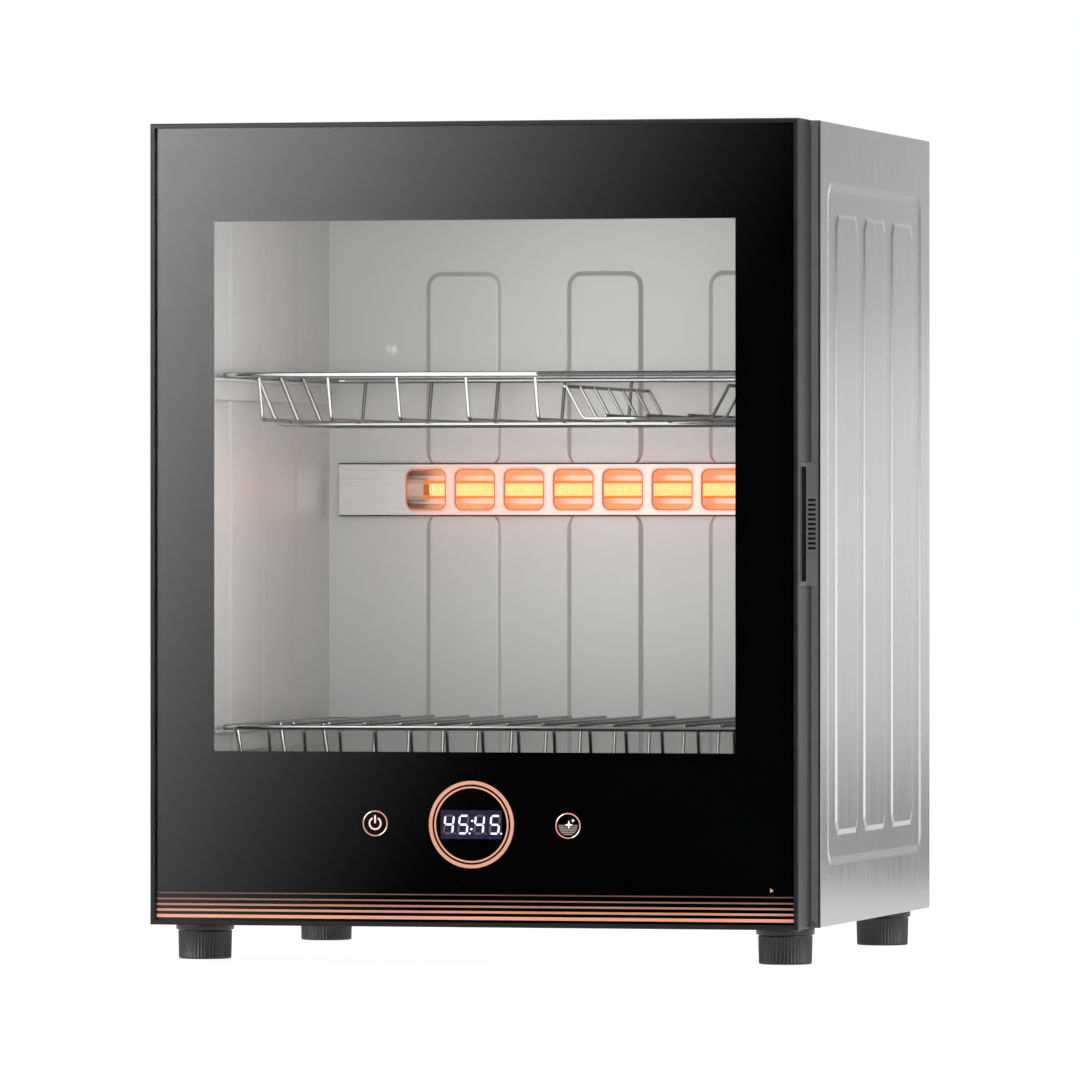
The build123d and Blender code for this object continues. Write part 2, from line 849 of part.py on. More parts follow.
with BuildPart() as inner_panel:
    with BuildSketch(front_plane(inner_panel_depth)):
        with BuildLine():
            Polyline(
                (inner_panel_left, panel_margin),
                (inner_panel_right, panel_margin),
                (inner_panel_right, door_height - panel_margin),
                (inner_panel_left, door_height - panel_margin),
                close=True,
            )
        make_face()
        with Locations((0, window_middle)):
            Rectangle(opening_width, opening_tall, mode=Mode.SUBTRACT)
        with Locations((inner_panel_right, pull_height)):
            Rectangle(8, pull_tall + 2 * pull_pocket, mode=Mode.SUBTRACT)
        with Locations(inner_screw_places):
            RegularPolygon(shank_radius + 0.2, screw_sides, mode=Mode.SUBTRACT)
    extrude(amount=-sheet)
finish("inner_panel", inner_panel.part)

finish(
    "inner_panel_screws",
    Compound(children=[cap_screw(place, door_depth, 5) for place in inner_screw_places]),
)

gasket_half = cavity_half + 7.5
gasket_low = cavity_floor - 9
gasket_high = cavity_top + 8
gasket_width = 8.0
gasket_rise = door_gap - 0.3

with BuildPart() as door_gasket:
    with BuildSketch(front_plane(door_depth)) as gasket_ring:
        with Locations((0, (gasket_low + gasket_high) / 2)):
            Rectangle(2 * gasket_half + gasket_width, gasket_high - gasket_low + gasket_width)
            chamfer(gasket_ring.vertices(), 7)
            Rectangle(2 * gasket_half - gasket_width, gasket_high - gasket_low - gasket_width, mode=Mode.SUBTRACT)
    extrude(amount=-gasket_rise)
    chamfer(door_gasket.edges().group_by(Axis.Y)[-1], 0.9)
finish("door_gasket", door_gasket.part)

# the finger pull: a scoop for the fingertips and a slotted wing that flares out behind it
pull_low = pull_height - pull_tall / 2
pull_high = pull_height + pull_tall / 2
wing_back = door_depth - 0.8

with BuildPart() as finger_pull:
    with BuildSketch(level_plane(pull_low - pull_pocket + 0.2)):
        with BuildLine():
            Polyline(
                (door_half - pull_reach - 2.5, pull_front - 1.8),
                (door_half, pull_front - 1.8),
                (door_half, pull_back),
                (door_half + pull_flare, wing_back),
                (door_half - 3.8, wing_back),
                (door_half - 3.8, pull_back + 3),
                (door_half - pull_reach - 2.5, pull_back + 3),
                close=True,
            )
        make_face()
    extrude(amount=pull_tall + 2 * pull_pocket - 0.4)
    with BuildSketch(front_plane(pull_front)):
        with Locations((door_half - pull_reach / 2 + 1, pull_height)):
            Rectangle(pull_reach + 2, pull_tall)
    extrude(amount=pull_front - pull_back, mode=Mode.SUBTRACT)
    for index in range(pull_slots):
        middle = pull_height + (index - (pull_slots - 1) / 2) * pull_slot_pitch
        slot = (middle - 0.8, middle + 0.8)
        block((door_half - 1, door_half + 6), (pull_back + 1.8, wing_back - 1.4), slot, Mode.SUBTRACT)
finish("finger_pull", finger_pull.part)

with BuildPart() as touch_board:
    block((-130, 130), (web_front + 0.5, web_front + 2.1), (control_low + 10, control_high - 10))
    block((-24, 24), (web_front + 2.1, web_front + 5), (30, 46))
    block((60, 74), (web_front + 2.1, web_front + 9), (36, 50))
finish("touch_board", touch_board.part)

control_middle = 66.2

with BuildPart() as display_module:
    block((-21.5, 21.5), (web_front + 2.1, web_front + 8), (control_middle - 10, control_middle + 10))
finish("display_module", display_module.part)

with BuildPart() as strike_plate:
    plate_span = (catch_height - 18, catch_height + 18)
    block((cavity_half + 5, cavity_half + 15), (inner_panel_depth - 3, inner_panel_depth), plate_span)
finish("strike_plate", strike_plate.part)

with BuildPart() as switch_magnet:
    block((cavity_half + 5, cavity_half + 13), (inner_panel_depth - 5, inner_panel_depth), (196, 210))
finish("switch_magnet", switch_magnet.part)

# --------------------------------------------------------------------- racks

wire_sides = 6


def bent_wire(points, radius):
    """A wire along straight runs with mitred bends, through points given as x, depth and height."""
    corners = [(x, back_y(depth), up_z(height)) for x, depth, height in points]
    with BuildPart() as wire:
        with BuildLine() as path:
            Polyline(*corners)
        with BuildSketch(Plane(origin=path.wire() @ 0, z_dir=path.wire() % 0)):
            RegularPolygon(radius, wire_sides)
        sweep(path=path.wire(), transition=Transition.RIGHT)
    return wire.part


def rim_path(half, front, back, height, corner):
    """The middle line of a rack's rim: a level rectangle with round corners."""
    with BuildSketch(level_plane(height)) as outline:
        with Locations((0, (front + back) / 2)):
            RectangleRounded(2 * half, back - front, corner)
    return outline.sketch.face().outer_wire()


bed_inset = 16.0
leg_slant = 10.0
upper_bed_half = rack_half_width - bed_inset
upper_wire_places = [(index - 3.5) * upper_wire_pitch for index in range(5)]
upper_bars = (161.0, 221.0, 281.0)
rim_corner = 12.0


def carrier(x, rim_height, bed_height, slant):
    """A front-to-back wire: down from the front rim, along the bed and up to the rear rim."""
    return bent_wire(
        [
            (x, rack_front + weld, rim_height - rim_radius + weld),
            (x, rack_front + slant, bed_height),
            (x, rack_back - slant, bed_height),
            (x, rack_back - weld, rim_height - rim_radius + weld),
        ],
        wire_radius,
    )


def bar_height(bed_height):
    """The height of a bar that is welded under a bed of wires."""
    return bed_height - wire_radius - bar_radius + weld


def cross_bar(depth, rim_height, bed_height, inset, radius):
    """A left-to-right bar under the bed, turned up at both ends to the rim's sides."""
    low = bar_height(bed_height)
    reach = rack_half_width - rim_radius - radius + 2 * weld
    return bent_wire(
        [
            (-reach, depth, rim_height + 1),
            (-rack_half_width + inset, depth, low),
            (rack_half_width - inset, depth, low),
            (reach, depth, rim_height + 1),
        ],
        radius,
    )


past_bend = 2.0
everywhere = (-cabinet_depth, 2 * cabinet_depth)


def parted(welded, regions):
    """A welded piece as solids that meet face to face, cut where its regions meet."""
    solids = []
    for region in regions:
        with BuildPart() as piece:
            add(welded)
            block(*region, Mode.INTERSECT)
        solids += piece.solids()
    return Compound(children=solids)


def tray_regions(inset, *cuts):
    """The front, back, left and right of a rack, and the middle between its wires' bends, cut across at some x."""
    half = rack_half_width - inset - past_bend
    depths = (rack_front + leg_slant + past_bend, rack_back - leg_slant - past_bend)
    return [
        (everywhere, (everywhere[0], depths[0]), everywhere),
        (everywhere, (depths[1], everywhere[1]), everywhere),
        ((everywhere[0], -half), depths, everywhere),
        ((half, everywhere[1]), depths, everywhere),
        *((span, depths, everywhere) for span in zip((-half, *cuts), (*cuts, half))),
    ]


upper_wires = [carrier(x, upper_rim_height, upper_bed_height, leg_slant) for x in upper_wire_places]
upper_wires += [cross_bar(depth, upper_rim_height, upper_bed_height, bed_inset, bar_radius) for depth in upper_bars]
upper_rim = rim_path(rack_half_width, rack_front, rack_back, upper_rim_height, rim_corner)

with BuildPart() as upper_rack:
    with BuildSketch(Plane(origin=upper_rim @ 0, z_dir=upper_rim % 0)):
        RegularPolygon(rim_radius, wire_sides)
    sweep(path=upper_rim)
    add(upper_wires)
finish("upper_rack", parted(upper_rack.part, tray_regions(bed_inset, upper_wire_places[-1] + past_bend)))

lower_wire_places = [(index - (lower_wire_count - 1) / 2) * lower_wire_pitch for index in range(lower_wire_count)]
lower_bars = (108.0, 221.0, 334.0)
lower_inset = 10.0
divider_shift = 0.7
divider_height = lower_rim_height + rim_radius + wire_radius - weld

lower_wires = [carrier(x, lower_rim_height, lower_bed_height, leg_slant) for x in lower_wire_places]
lower_wires += [cross_bar(depth, lower_rim_height, lower_bed_height, lower_inset, bar_radius) for depth in lower_bars]
divider_places = [x + divider_shift * lower_wire_pitch for x in lower_wire_places[:-1]]
lower_wires += [
    bent_wire([(x, rack_front - 1, divider_height), (x, rack_back + 1, divider_height)], wire_radius)
    for x in divider_places
]
lower_rim = rim_path(rack_half_width, rack_front, rack_back, lower_rim_height, rim_corner)

with BuildPart() as lower_rack:
    with BuildSketch(Plane(origin=lower_rim @ 0, z_dir=lower_rim % 0)):
        RegularPolygon(rim_radius, wire_sides)
    sweep(path=lower_rim)
    add(lower_wires)
finish("lower_rack", parted(lower_rack.part, tray_regions(lower_inset)))

basket_middle = 94.0
basket_top_half = 55.0
basket_bed_half = 43.0
basket_front = 98.0
basket_back = 346.0
basket_hoops = 7
basket_wire = 1.0
basket_bar = 1.2
basket_bed_height = bar_height(upper_bed_height) + bar_radius + 0.3 + basket_wire
basket_top_height = basket_bed_height + 22.0
hoop_pitch = (basket_back - basket_front) / (basket_hoops - 1)


def hoop(depth):
    """One trapezoid hoop of the chopstick basket, open at its top."""
    return bent_wire(
        [
            (basket_middle - basket_top_half, depth, basket_top_height),
            (basket_middle - basket_bed_half, depth, basket_bed_height),
            (basket_middle + basket_bed_half, depth, basket_bed_height),
            (basket_middle + basket_top_half, depth, basket_top_height),
        ],
        basket_wire,
    )


def basket_runner(offset, height):
    """One front-to-back wire of the chopstick basket."""
    x = basket_middle + offset
    return bent_wire([(x, basket_front - 2, height), (x, basket_back + 2, height)], basket_bar)


basket_wires = [hoop(basket_front + index * hoop_pitch) for index in range(basket_hoops)]
basket_wires += [basket_runner(side * (basket_top_half + weld), basket_top_height - 1) for side in (-1, 1)]
runner_height = basket_bed_height + basket_wire + basket_bar - weld
basket_wires += [basket_runner(offset, runner_height) for offset in (-28, 0, 28)]

with BuildPart() as chopstick_basket:
    add(basket_wires)
basket_left = basket_middle - basket_bed_half + past_bend
basket_right = basket_middle + basket_bed_half - past_bend
basket_spans = ((everywhere[0], basket_left), (basket_left, basket_right), (basket_right, everywhere[1]))
basket_regions = [(span, everywhere, everywhere) for span in basket_spans]
finish("chopstick_basket", parted(chopstick_basket.part, basket_regions))
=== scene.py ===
"""The dish sterilizer cabinet's looks: materials, round wires, printed controls and small parts on the solids.

Pieces are placed in millimetres: x to the right, depth back from the front of the door's glass, and height up
from the underside of the door, as place() turns them into metres in the model's frame.
"""

import json
from math import cos, pi, radians, sin, tan

import bmesh
import bpy
from mathutils import Matrix, Vector


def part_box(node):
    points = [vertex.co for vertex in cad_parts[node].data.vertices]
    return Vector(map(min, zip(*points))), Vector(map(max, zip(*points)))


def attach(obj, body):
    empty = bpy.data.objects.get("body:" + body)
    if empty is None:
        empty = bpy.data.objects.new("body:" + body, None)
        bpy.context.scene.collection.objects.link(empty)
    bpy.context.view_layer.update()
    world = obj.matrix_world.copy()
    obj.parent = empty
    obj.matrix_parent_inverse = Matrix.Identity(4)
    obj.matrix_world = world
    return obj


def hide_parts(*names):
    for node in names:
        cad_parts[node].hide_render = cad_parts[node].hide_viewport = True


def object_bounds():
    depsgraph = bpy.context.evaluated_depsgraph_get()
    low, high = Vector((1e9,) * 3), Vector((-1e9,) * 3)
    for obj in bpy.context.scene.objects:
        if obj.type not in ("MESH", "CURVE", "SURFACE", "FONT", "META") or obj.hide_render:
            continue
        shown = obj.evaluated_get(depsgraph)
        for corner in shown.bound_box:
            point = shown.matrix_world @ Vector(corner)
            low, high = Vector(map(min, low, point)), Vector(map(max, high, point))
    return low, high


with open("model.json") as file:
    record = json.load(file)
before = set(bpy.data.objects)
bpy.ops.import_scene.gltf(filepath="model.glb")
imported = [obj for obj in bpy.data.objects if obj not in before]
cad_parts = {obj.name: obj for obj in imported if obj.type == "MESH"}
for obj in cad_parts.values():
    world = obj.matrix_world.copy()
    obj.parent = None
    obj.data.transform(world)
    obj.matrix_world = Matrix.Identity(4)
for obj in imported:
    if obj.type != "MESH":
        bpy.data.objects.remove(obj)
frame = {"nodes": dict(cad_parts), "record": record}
cad_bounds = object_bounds()
cad_low, cad_high = (Vector(corner) for corner in cad_bounds)

MM = 0.001
FOOT_HEIGHT = 24.0
HALF_DEPTH = (cad_high.y - cad_low.y) / 2 / MM


def place(x, depth, height):
    """A point in metres from millimetres to the right, back from the glass and up from the door's underside."""
    return Vector((x, depth - HALF_DEPTH, height + FOOT_HEIGHT)) * MM


# ------------------------------------------------------------------ materials


def node_material(name):
    """A new material with its node tree and its Principled shader."""
    material = bpy.data.materials.new(name)
    material.use_nodes = True
    tree = material.node_tree
    return material, tree, tree.nodes["Principled BSDF"]


def set_inputs(shader, **values):
    """Set a shader's own sockets, with spaces for underscores in their names."""
    for key, value in values.items():
        shader.inputs[key.replace("_", " ")].default_value = value


def object_noise(tree, scale, stretch=(1, 1, 1), detail=3.0):
    """A noise in the object's own space, stretched along its axes."""
    where = tree.nodes.new("ShaderNodeTexCoord")
    mapping = tree.nodes.new("ShaderNodeMapping")
    mapping.inputs["Scale"].default_value = stretch
    noise = tree.nodes.new("ShaderNodeTexNoise")
    noise.inputs["Scale"].default_value = scale
    noise.inputs["Detail"].default_value = detail
    noise.inputs["Roughness"].default_value = 0.55
    tree.links.new(where.outputs["Object"], mapping.inputs["Vector"])
    tree.links.new(mapping.outputs["Vector"], noise.inputs["Vector"])
    return noise.outputs["Fac"]


def spread(tree, value, low, high, start=0.3, end=0.7):
    """Map a noise's middle range onto numbers from low to high."""
    remap = tree.nodes.new("ShaderNodeMapRange")
    for key, number in (("From Min", start), ("From Max", end), ("To Min", low), ("To Max", high)):
        remap.inputs[key].default_value = number
    tree.links.new(value, remap.inputs["Value"])
    return remap.outputs["Result"]


def tint(tree, value, dark, light):
    """Map a noise onto a colour between two."""
    ramp = tree.nodes.new("ShaderNodeValToRGB")
    ramp.color_ramp.elements[0].position = 0.3
    ramp.color_ramp.elements[1].position = 0.7
    ramp.color_ramp.elements[0].color = (*dark, 1)
    ramp.color_ramp.elements[1].color = (*light, 1)
    tree.links.new(value, ramp.inputs["Fac"])
    return ramp.outputs["Color"]


def math_step(tree, operation, *values):
    """A math node's result, from numbers and other nodes' outputs."""
    step = tree.nodes.new("ShaderNodeMath")
    step.operation = operation
    for socket, value in zip(step.inputs, values):
        if isinstance(value, (int, float)):
            socket.default_value = value
        else:
            tree.links.new(value, socket)
    return step.outputs["Value"]


def add_bump(tree, shader, value, strength, distance):
    """Feed a height into the shader's normal."""
    bump = tree.nodes.new("ShaderNodeBump")
    bump.inputs["Strength"].default_value = strength
    bump.inputs["Distance"].default_value = distance
    tree.links.new(value, bump.inputs["Height"])
    tree.links.new(bump.outputs["Normal"], shader.inputs["Normal"])


def brushed_metal(name, colour, grain, rough, contrast=0.04, bump=0.12, sway=0.06, **sockets):
    """Metal with fine brush lines: grain is the noise's stretch, small along the lines."""
    material, tree, shader = node_material(name)
    lines = object_noise(tree, 1.0, grain, detail=4.0)
    dark = [channel - contrast for channel in colour]
    light = [min(channel + contrast, 1.0) for channel in colour]
    tree.links.new(tint(tree, lines, dark, light), shader.inputs["Base Color"])
    tree.links.new(spread(tree, lines, rough - sway, rough + sway), shader.inputs["Roughness"])
    add_bump(tree, shader, lines, bump, 0.00006)
    set_inputs(shader, **{"Metallic": 1.0, **sockets})
    return material


def speckled(name, dark, light, scale, rough, bump=0.2, distance=0.0001, **sockets):
    """A plain substance with fine mottling in its colour, roughness and relief."""
    material, tree, shader = node_material(name)
    grain = object_noise(tree, scale, detail=5.0)
    wide = object_noise(tree, scale / 30, detail=2.0)
    tree.links.new(tint(tree, wide, dark, light), shader.inputs["Base Color"])
    tree.links.new(spread(tree, grain, rough[0], rough[1]), shader.inputs["Roughness"])
    add_bump(tree, shader, grain, bump, distance)
    set_inputs(shader, **sockets)
    return material


def glowing(name, colour, strength, line_scale, depth):
    """A glowing substance whose light varies along its length."""
    material, tree, shader = node_material(name)
    lines = object_noise(tree, 1.0, line_scale, detail=2.0)
    dark = [channel * depth for channel in colour]
    glow = tint(tree, lines, dark, colour)
    tree.links.new(glow, shader.inputs["Base Color"])
    tree.links.new(glow, shader.inputs["Emission Color"])
    set_inputs(shader, Roughness=0.35)
    shader.inputs["Emission Strength"].default_value = strength
    return material


def clear(name, colour, alpha, rough, **sockets):
    """A clear sheet that lets most light straight through, with faint unevenness in its gloss."""
    material, tree, shader = node_material(name)
    haze = object_noise(tree, 40.0, detail=2.0)
    tree.links.new(spread(tree, haze, rough, rough + 0.004), shader.inputs["Roughness"])
    shader.inputs["Base Color"].default_value = (*colour, 1)
    set_inputs(shader, Alpha=alpha, **sockets)
    return material


def wire_with_painted_sheen(name, edge, face):
    """Bright plating on thin wire, with a painted reflection: pale where it faces the eye and dark at its edges,
    with fine draw marks.
    """
    material, tree, shader = node_material(name)
    marks = object_noise(tree, 500.0, detail=4.0)
    facing = tree.nodes.new("ShaderNodeLayerWeight")
    facing.inputs["Blend"].default_value = 0.35
    # painted reflection: the wire's colour goes from pale to dark by how squarely it faces the eye, plus draw marks
    sheen_and_marks = math_step(tree, "ADD", facing.outputs["Facing"], spread(tree, marks, -0.06, 0.06))
    tree.links.new(tint(tree, sheen_and_marks, face, edge), shader.inputs["Base Color"])
    tree.links.new(spread(tree, marks, 0.14, 0.22), shader.inputs["Roughness"])
    add_bump(tree, shader, marks, 0.04, 0.00006)
    set_inputs(shader, Metallic=1.0)
    return material


def glowing_tube(name):
    """Quartz lit from within: clear in its middle, and a deep orange glow at its edges."""
    material, tree, shader = node_material(name)
    facing = tree.nodes.new("ShaderNodeLayerWeight")
    facing.inputs["Blend"].default_value = 0.5
    haze = object_noise(tree, 300.0, detail=2.0)
    tree.links.new(spread(tree, haze, 0.06, 0.1), shader.inputs["Roughness"])
    tree.links.new(spread(tree, facing.outputs["Facing"], 0.08, 0.9, 0.25, 0.75), shader.inputs["Alpha"])
    glow = tint(tree, facing.outputs["Facing"], (1.0, 0.42, 0.12), (1.0, 0.16, 0.01))
    tree.links.new(glow, shader.inputs["Base Color"])
    tree.links.new(glow, shader.inputs["Emission Color"])
    shader.inputs["Emission Strength"].default_value = 0.55
    set_inputs(shader, IOR=1.45)
    return material


BRUSHED_UP = (2600, 2600, 14)
BRUSHED_ALONG = (14, 2600, 2600)
materials = {
    "panel_steel": brushed_metal("panel_steel", (0.41, 0.41, 0.41), BRUSHED_UP, 0.22, 0.025, 0.06),
    "liner_steel": brushed_metal(
        "liner_steel", (0.62, 0.62, 0.615), BRUSHED_UP, 0.4, 0.004, 0.006, 0.015, Metallic=0.35
    ),
    "galvanised": speckled("galvanised", (0.44, 0.46, 0.48), (0.62, 0.64, 0.66), 260, (0.32, 0.5), Metallic=0.9),
    "black_frame": speckled(
        "black_frame", (0.012, 0.012, 0.013), (0.018, 0.018, 0.019), 1800, (0.3, 0.4), Specular_IOR_Level=0.15
    ),
    "grey_frame": speckled("grey_frame", (0.05, 0.05, 0.052), (0.062, 0.062, 0.064), 1500, (0.36, 0.48)),
    "clear_glass": clear("clear_glass", (0.006, 0.007, 0.007), 0.06, 0.02, IOR=1.5),
    "black_print": speckled(
        "black_print", (0.0012, 0.0012, 0.0013), (0.0018, 0.0018, 0.0019), 500, (0.02, 0.022), 0.0
    ),
    "seal_rubber": speckled("seal_rubber", (0.035, 0.035, 0.036), (0.05, 0.05, 0.05), 1400, (0.62, 0.78)),
    "foot_rubber": speckled("foot_rubber", (0.010, 0.010, 0.010), (0.016, 0.016, 0.016), 1600, (0.34, 0.5)),
    # the racks' wire colour carries a painted reflection, pale in its middle and dark at its edges
    "chrome_wire": wire_with_painted_sheen("chrome_wire", (0.02, 0.02, 0.02), (0.44, 0.437, 0.435)),
    "guard_steel": brushed_metal("guard_steel", (0.72, 0.71, 0.70), BRUSHED_ALONG, 0.32, 0.02, 0.05, Metallic=0.5),
    "quartz": glowing_tube("quartz"),
    "filament": glowing("filament", (1.0, 0.80, 0.45), 1.25, (900, 60, 60), 0.85),
    "ceramic": speckled("ceramic", (0.62, 0.58, 0.5), (0.74, 0.7, 0.62), 900, (0.5, 0.7)),
    "reflector": brushed_metal("reflector", (0.86, 0.82, 0.78), BRUSHED_ALONG, 0.5, 0.02, 0.05, Metallic=0.85),
    "glass_wool": speckled("glass_wool", (0.55, 0.47, 0.22), (0.72, 0.64, 0.36), 500, (0.8, 0.95), 0.8, 0.0006),
    "board": speckled("board", (0.012, 0.09, 0.035), (0.02, 0.13, 0.05), 700, (0.25, 0.4)),
    "white_plastic": speckled("white_plastic", (0.66, 0.66, 0.63), (0.74, 0.74, 0.71), 1500, (0.38, 0.5)),
    "black_plastic": speckled("black_plastic", (0.022, 0.022, 0.023), (0.032, 0.032, 0.033), 1700, (0.36, 0.5)),
    "display_blue": speckled("display_blue", (0.012, 0.010, 0.045), (0.016, 0.013, 0.06), 900, (0.2, 0.3), 0.05),
    "zinc_steel": brushed_metal("zinc_steel", (0.66, 0.66, 0.64), (300, 300, 300), 0.32, 0.05, 0.1),
    "magnet": speckled("magnet", (0.05, 0.05, 0.052), (0.075, 0.075, 0.078), 900, (0.5, 0.7)),
    "brass_bush": brushed_metal("brass_bush", (0.70, 0.50, 0.24), (500, 500, 60), 0.3, 0.05, 0.08),
}
# copper print with a painted glow: its emission gives the printed ink light of its own
copper_print_with_painted_glow = speckled(
    "copper_print_with_painted_glow", (0.66, 0.30, 0.19), (0.76, 0.37, 0.25), 900, (0.3, 0.45), 0.1,
    Emission_Color=(0.95, 0.42, 0.26, 1), Emission_Strength=0.25,
)
core_glow = glowing("core_glow", (1.0, 0.56, 0.17), 1.0, (40, 900, 900), 0.8)
# painted shadow: a near-black finish for strips that stand where only shade falls, on the guard's flanges and by
# the side panels
painted_shadow_black = speckled("painted_shadow_black", (0.012, 0.011, 0.011), (0.02, 0.018, 0.018), 900, (0.4, 0.55), 0.1)
# painted light: a red glow for the guard's window edges that stands for the heater's light falling on them
painted_heater_glow = glowing("painted_heater_glow", (0.62, 0.2, 0.07), 0.35, (300, 300, 300), 0.85)
digit_glow = glowing("digit_glow", (0.78, 0.76, 1.0), 1.1, (600, 600, 600), 0.92)
ghost_segment = speckled("ghost_segment", (0.095, 0.098, 0.045), (0.12, 0.122, 0.06), 900, (0.3, 0.4), 0.1)
button_glow = glowing("button_glow", (0.86, 0.62, 0.53), 0.55, (600, 600, 600), 0.9)
button_dim = glowing("button_dim", (0.34, 0.25, 0.225), 0.6, (600, 600, 600), 0.85)
# the glow of the keys' stars, also used for the painted highlights on the key rings
star_glow = glowing("star_glow", (0.95, 0.88, 0.84), 0.8, (600, 600, 600), 0.92)

node_slots = {row["node"]: row["material_slot"] for row in frame["record"]["subparts"]}
for node, slot_name in node_slots.items():
    solid = frame["nodes"][node]
    for material_slot in solid.material_slots:
        material_slot.material = materials[slot_name]

# --------------------------------------------------------------- mesh helpers

ARC_STEPS = 8


def finish_piece(piece, body, material, stands_for=()):
    """Give a piece its material and body, and hide the nodes that it stands for."""
    piece.data.materials.clear()
    piece.data.materials.append(material)
    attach(piece, body)
    if stands_for:
        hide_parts(*stands_for)
    return piece


def mesh_object(name, mesh):
    """Link a mesh into the scene as an object at the origin."""
    piece = bpy.data.objects.new(name, mesh)
    bpy.context.scene.collection.objects.link(piece)
    return piece


def as_mesh(name, curve, matrix=None):
    """Turn a curve into a mesh object and delete the curve."""
    holder = bpy.data.objects.new(name + "_curve", curve)
    bpy.context.scene.collection.objects.link(holder)
    bpy.context.view_layer.update()
    evaluated = holder.evaluated_get(bpy.context.evaluated_depsgraph_get())
    mesh = bpy.data.meshes.new_from_object(evaluated)
    mesh.name = name
    if matrix:
        mesh.transform(matrix)
    bpy.data.objects.remove(holder)
    return mesh_object(name, mesh)


def rounded(points, bend):
    """A path along straight runs whose corners are arcs of the bend's radius."""
    path = [points[0]]
    for before, corner, after in zip(points, points[1:], points[2:]):
        back, onward = before - corner, after - corner
        half_angle = back.angle(onward) / 2
        reach = min(bend / tan(half_angle), back.length / 2, onward.length / 2)
        centre = corner + (back.normalized() + onward.normalized()).normalized() * reach / cos(half_angle)
        start = (corner + back.normalized() * reach - centre).normalized()
        end = (corner + onward.normalized() * reach - centre).normalized()
        radius = reach * tan(half_angle)
        path += [centre + start.slerp(end, step / ARC_STEPS) * radius for step in range(ARC_STEPS + 1)]
    path.append(points[-1])
    return path


def wire_object(name, wires, loops=()):
    """Round wires as one mesh: each is a path in metres and a radius in mm, with ball ends unless it is a loop."""
    curve = bpy.data.curves.new(name, "CURVE")
    curve.dimensions = "3D"
    curve.bevel_depth = MM
    curve.bevel_resolution = 3
    curve.use_fill_caps = True
    for closed, group in ((False, wires), (True, loops)):
        for path, radius in group:
            steps = [(point, radius) for point in path]
            if not closed:
                start, end = ball_end(path[1], path[0], radius)[::-1], ball_end(path[-2], path[-1], radius)
                steps = start + steps[1:-1] + end
            spline = curve.splines.new("POLY")
            spline.points.add(len(steps) - 1)
            for knot, (point, size) in zip(spline.points, steps):
                knot.co = (*point, 1)
                knot.radius = size
            spline.use_cyclic_u = closed
            spline.use_smooth = True
    return as_mesh(name, curve)


def ball_end(before, end, radius):
    """The last points and radii of a wire that ends in a ball at the end point."""
    direction = (end - before).normalized()
    centre = end - direction * radius * MM
    knots = []
    for step in range(5):
        turn = pi / 2 * step / 4
        knots.append((centre + direction * radius * MM * sin(turn), radius * max(cos(turn), 0.05)))
    return knots


def facing_front(depth):
    """The matrix of a flat shape whose x is to the right and whose y is up, facing the viewer at a depth."""
    axes = Matrix(((1, 0, 0, 0), (0, 0, -1, 0), (0, 1, 0, 0), (0, 0, 0, 1)))
    return Matrix.Translation(place(0, depth, 0)) @ axes @ Matrix.Scale(MM, 4)


def flat_object(name, outlines, thickness, matrix, edge=0.0):
    """A flat plate with holes from closed outlines in mm: later outlines inside the first are holes."""
    curve = bpy.data.curves.new(name, "CURVE")
    curve.dimensions = "2D"
    curve.fill_mode = "BOTH"
    curve.extrude = thickness / 2 - edge
    curve.bevel_depth = edge
    curve.bevel_resolution = 2
    curve.offset = -edge
    for outline in outlines:
        spline = curve.splines.new("POLY")
        spline.points.add(len(outline) - 1)
        for knot, (x, y) in zip(spline.points, outline):
            knot.co = (x, y, 0, 1)
        spline.use_cyclic_u = True
    return as_mesh(name, curve, matrix)


def facing_right(x):
    """The matrix of a flat shape whose x is depth and whose y is up, facing right at a value of x."""
    axes = Matrix(((0, 0, 1, 0), (1, 0, 0, 0), (0, 1, 0, 0), (0, 0, 0, 1)))
    return Matrix.Translation(place(x, 0, 0)) @ axes @ Matrix.Scale(MM, 4)


def rounded_box(centre, size, corner, steps=6):
    """The outline of a rectangle with round corners."""
    (x, y), (wide, tall) = centre, size
    points = []
    for turn, (across, up) in enumerate(((1, 1), (-1, 1), (-1, -1), (1, -1))):
        for step in range(steps + 1):
            angle = pi / 2 * (turn + step / steps)
            points.append((
                x + across * (wide / 2 - corner) + corner * cos(angle),
                y + up * (tall / 2 - corner) + corner * sin(angle),
            ))
    return points


def circle(centre, radius, count=72):
    """The outline of a circle."""
    angles = [2 * pi * step / count for step in range(count)]
    return [(centre[0] + radius * cos(angle), centre[1] + radius * sin(angle)) for angle in angles]


def arc_band(centre, inner, outer, start, end, steps=40):
    """The outline of part of a ring between two angles in degrees."""
    x, y = centre
    angles = [radians(start + (end - start) * step / steps) for step in range(steps + 1)]
    out = [(x + outer * cos(angle), y + outer * sin(angle)) for angle in angles]
    back = [(x + inner * cos(angle), y + inner * sin(angle)) for angle in reversed(angles)]
    return out + back


def lathe_object(name, centre, profile, count, flute=0.0):
    """A turned piece about a vertical axis from (radius, height) in mm, with flutes where its third value says."""
    mesh = bpy.data.meshes.new(name)
    shape = bmesh.new()
    rings = []
    for radius, height, fluted in profile:
        ring = []
        for step in range(count):
            angle = 2 * pi * step / count
            size = radius - (flute if fluted and step % 4 in (2, 3) else 0.0)
            ring.append(shape.verts.new(centre + Vector((size * cos(angle), size * sin(angle), height)) * MM))
        rings.append(ring)
    for lower, upper in zip(rings, rings[1:]):
        for step in range(count):
            following = (step + 1) % count
            face = shape.faces.new((lower[step], lower[following], upper[following], upper[step]))
            face.smooth = True
    shape.faces.new(rings[0][::-1])
    shape.faces.new(rings[-1])
    shape.normal_update()
    shape.to_mesh(mesh)
    shape.free()
    return mesh_object(name, mesh)


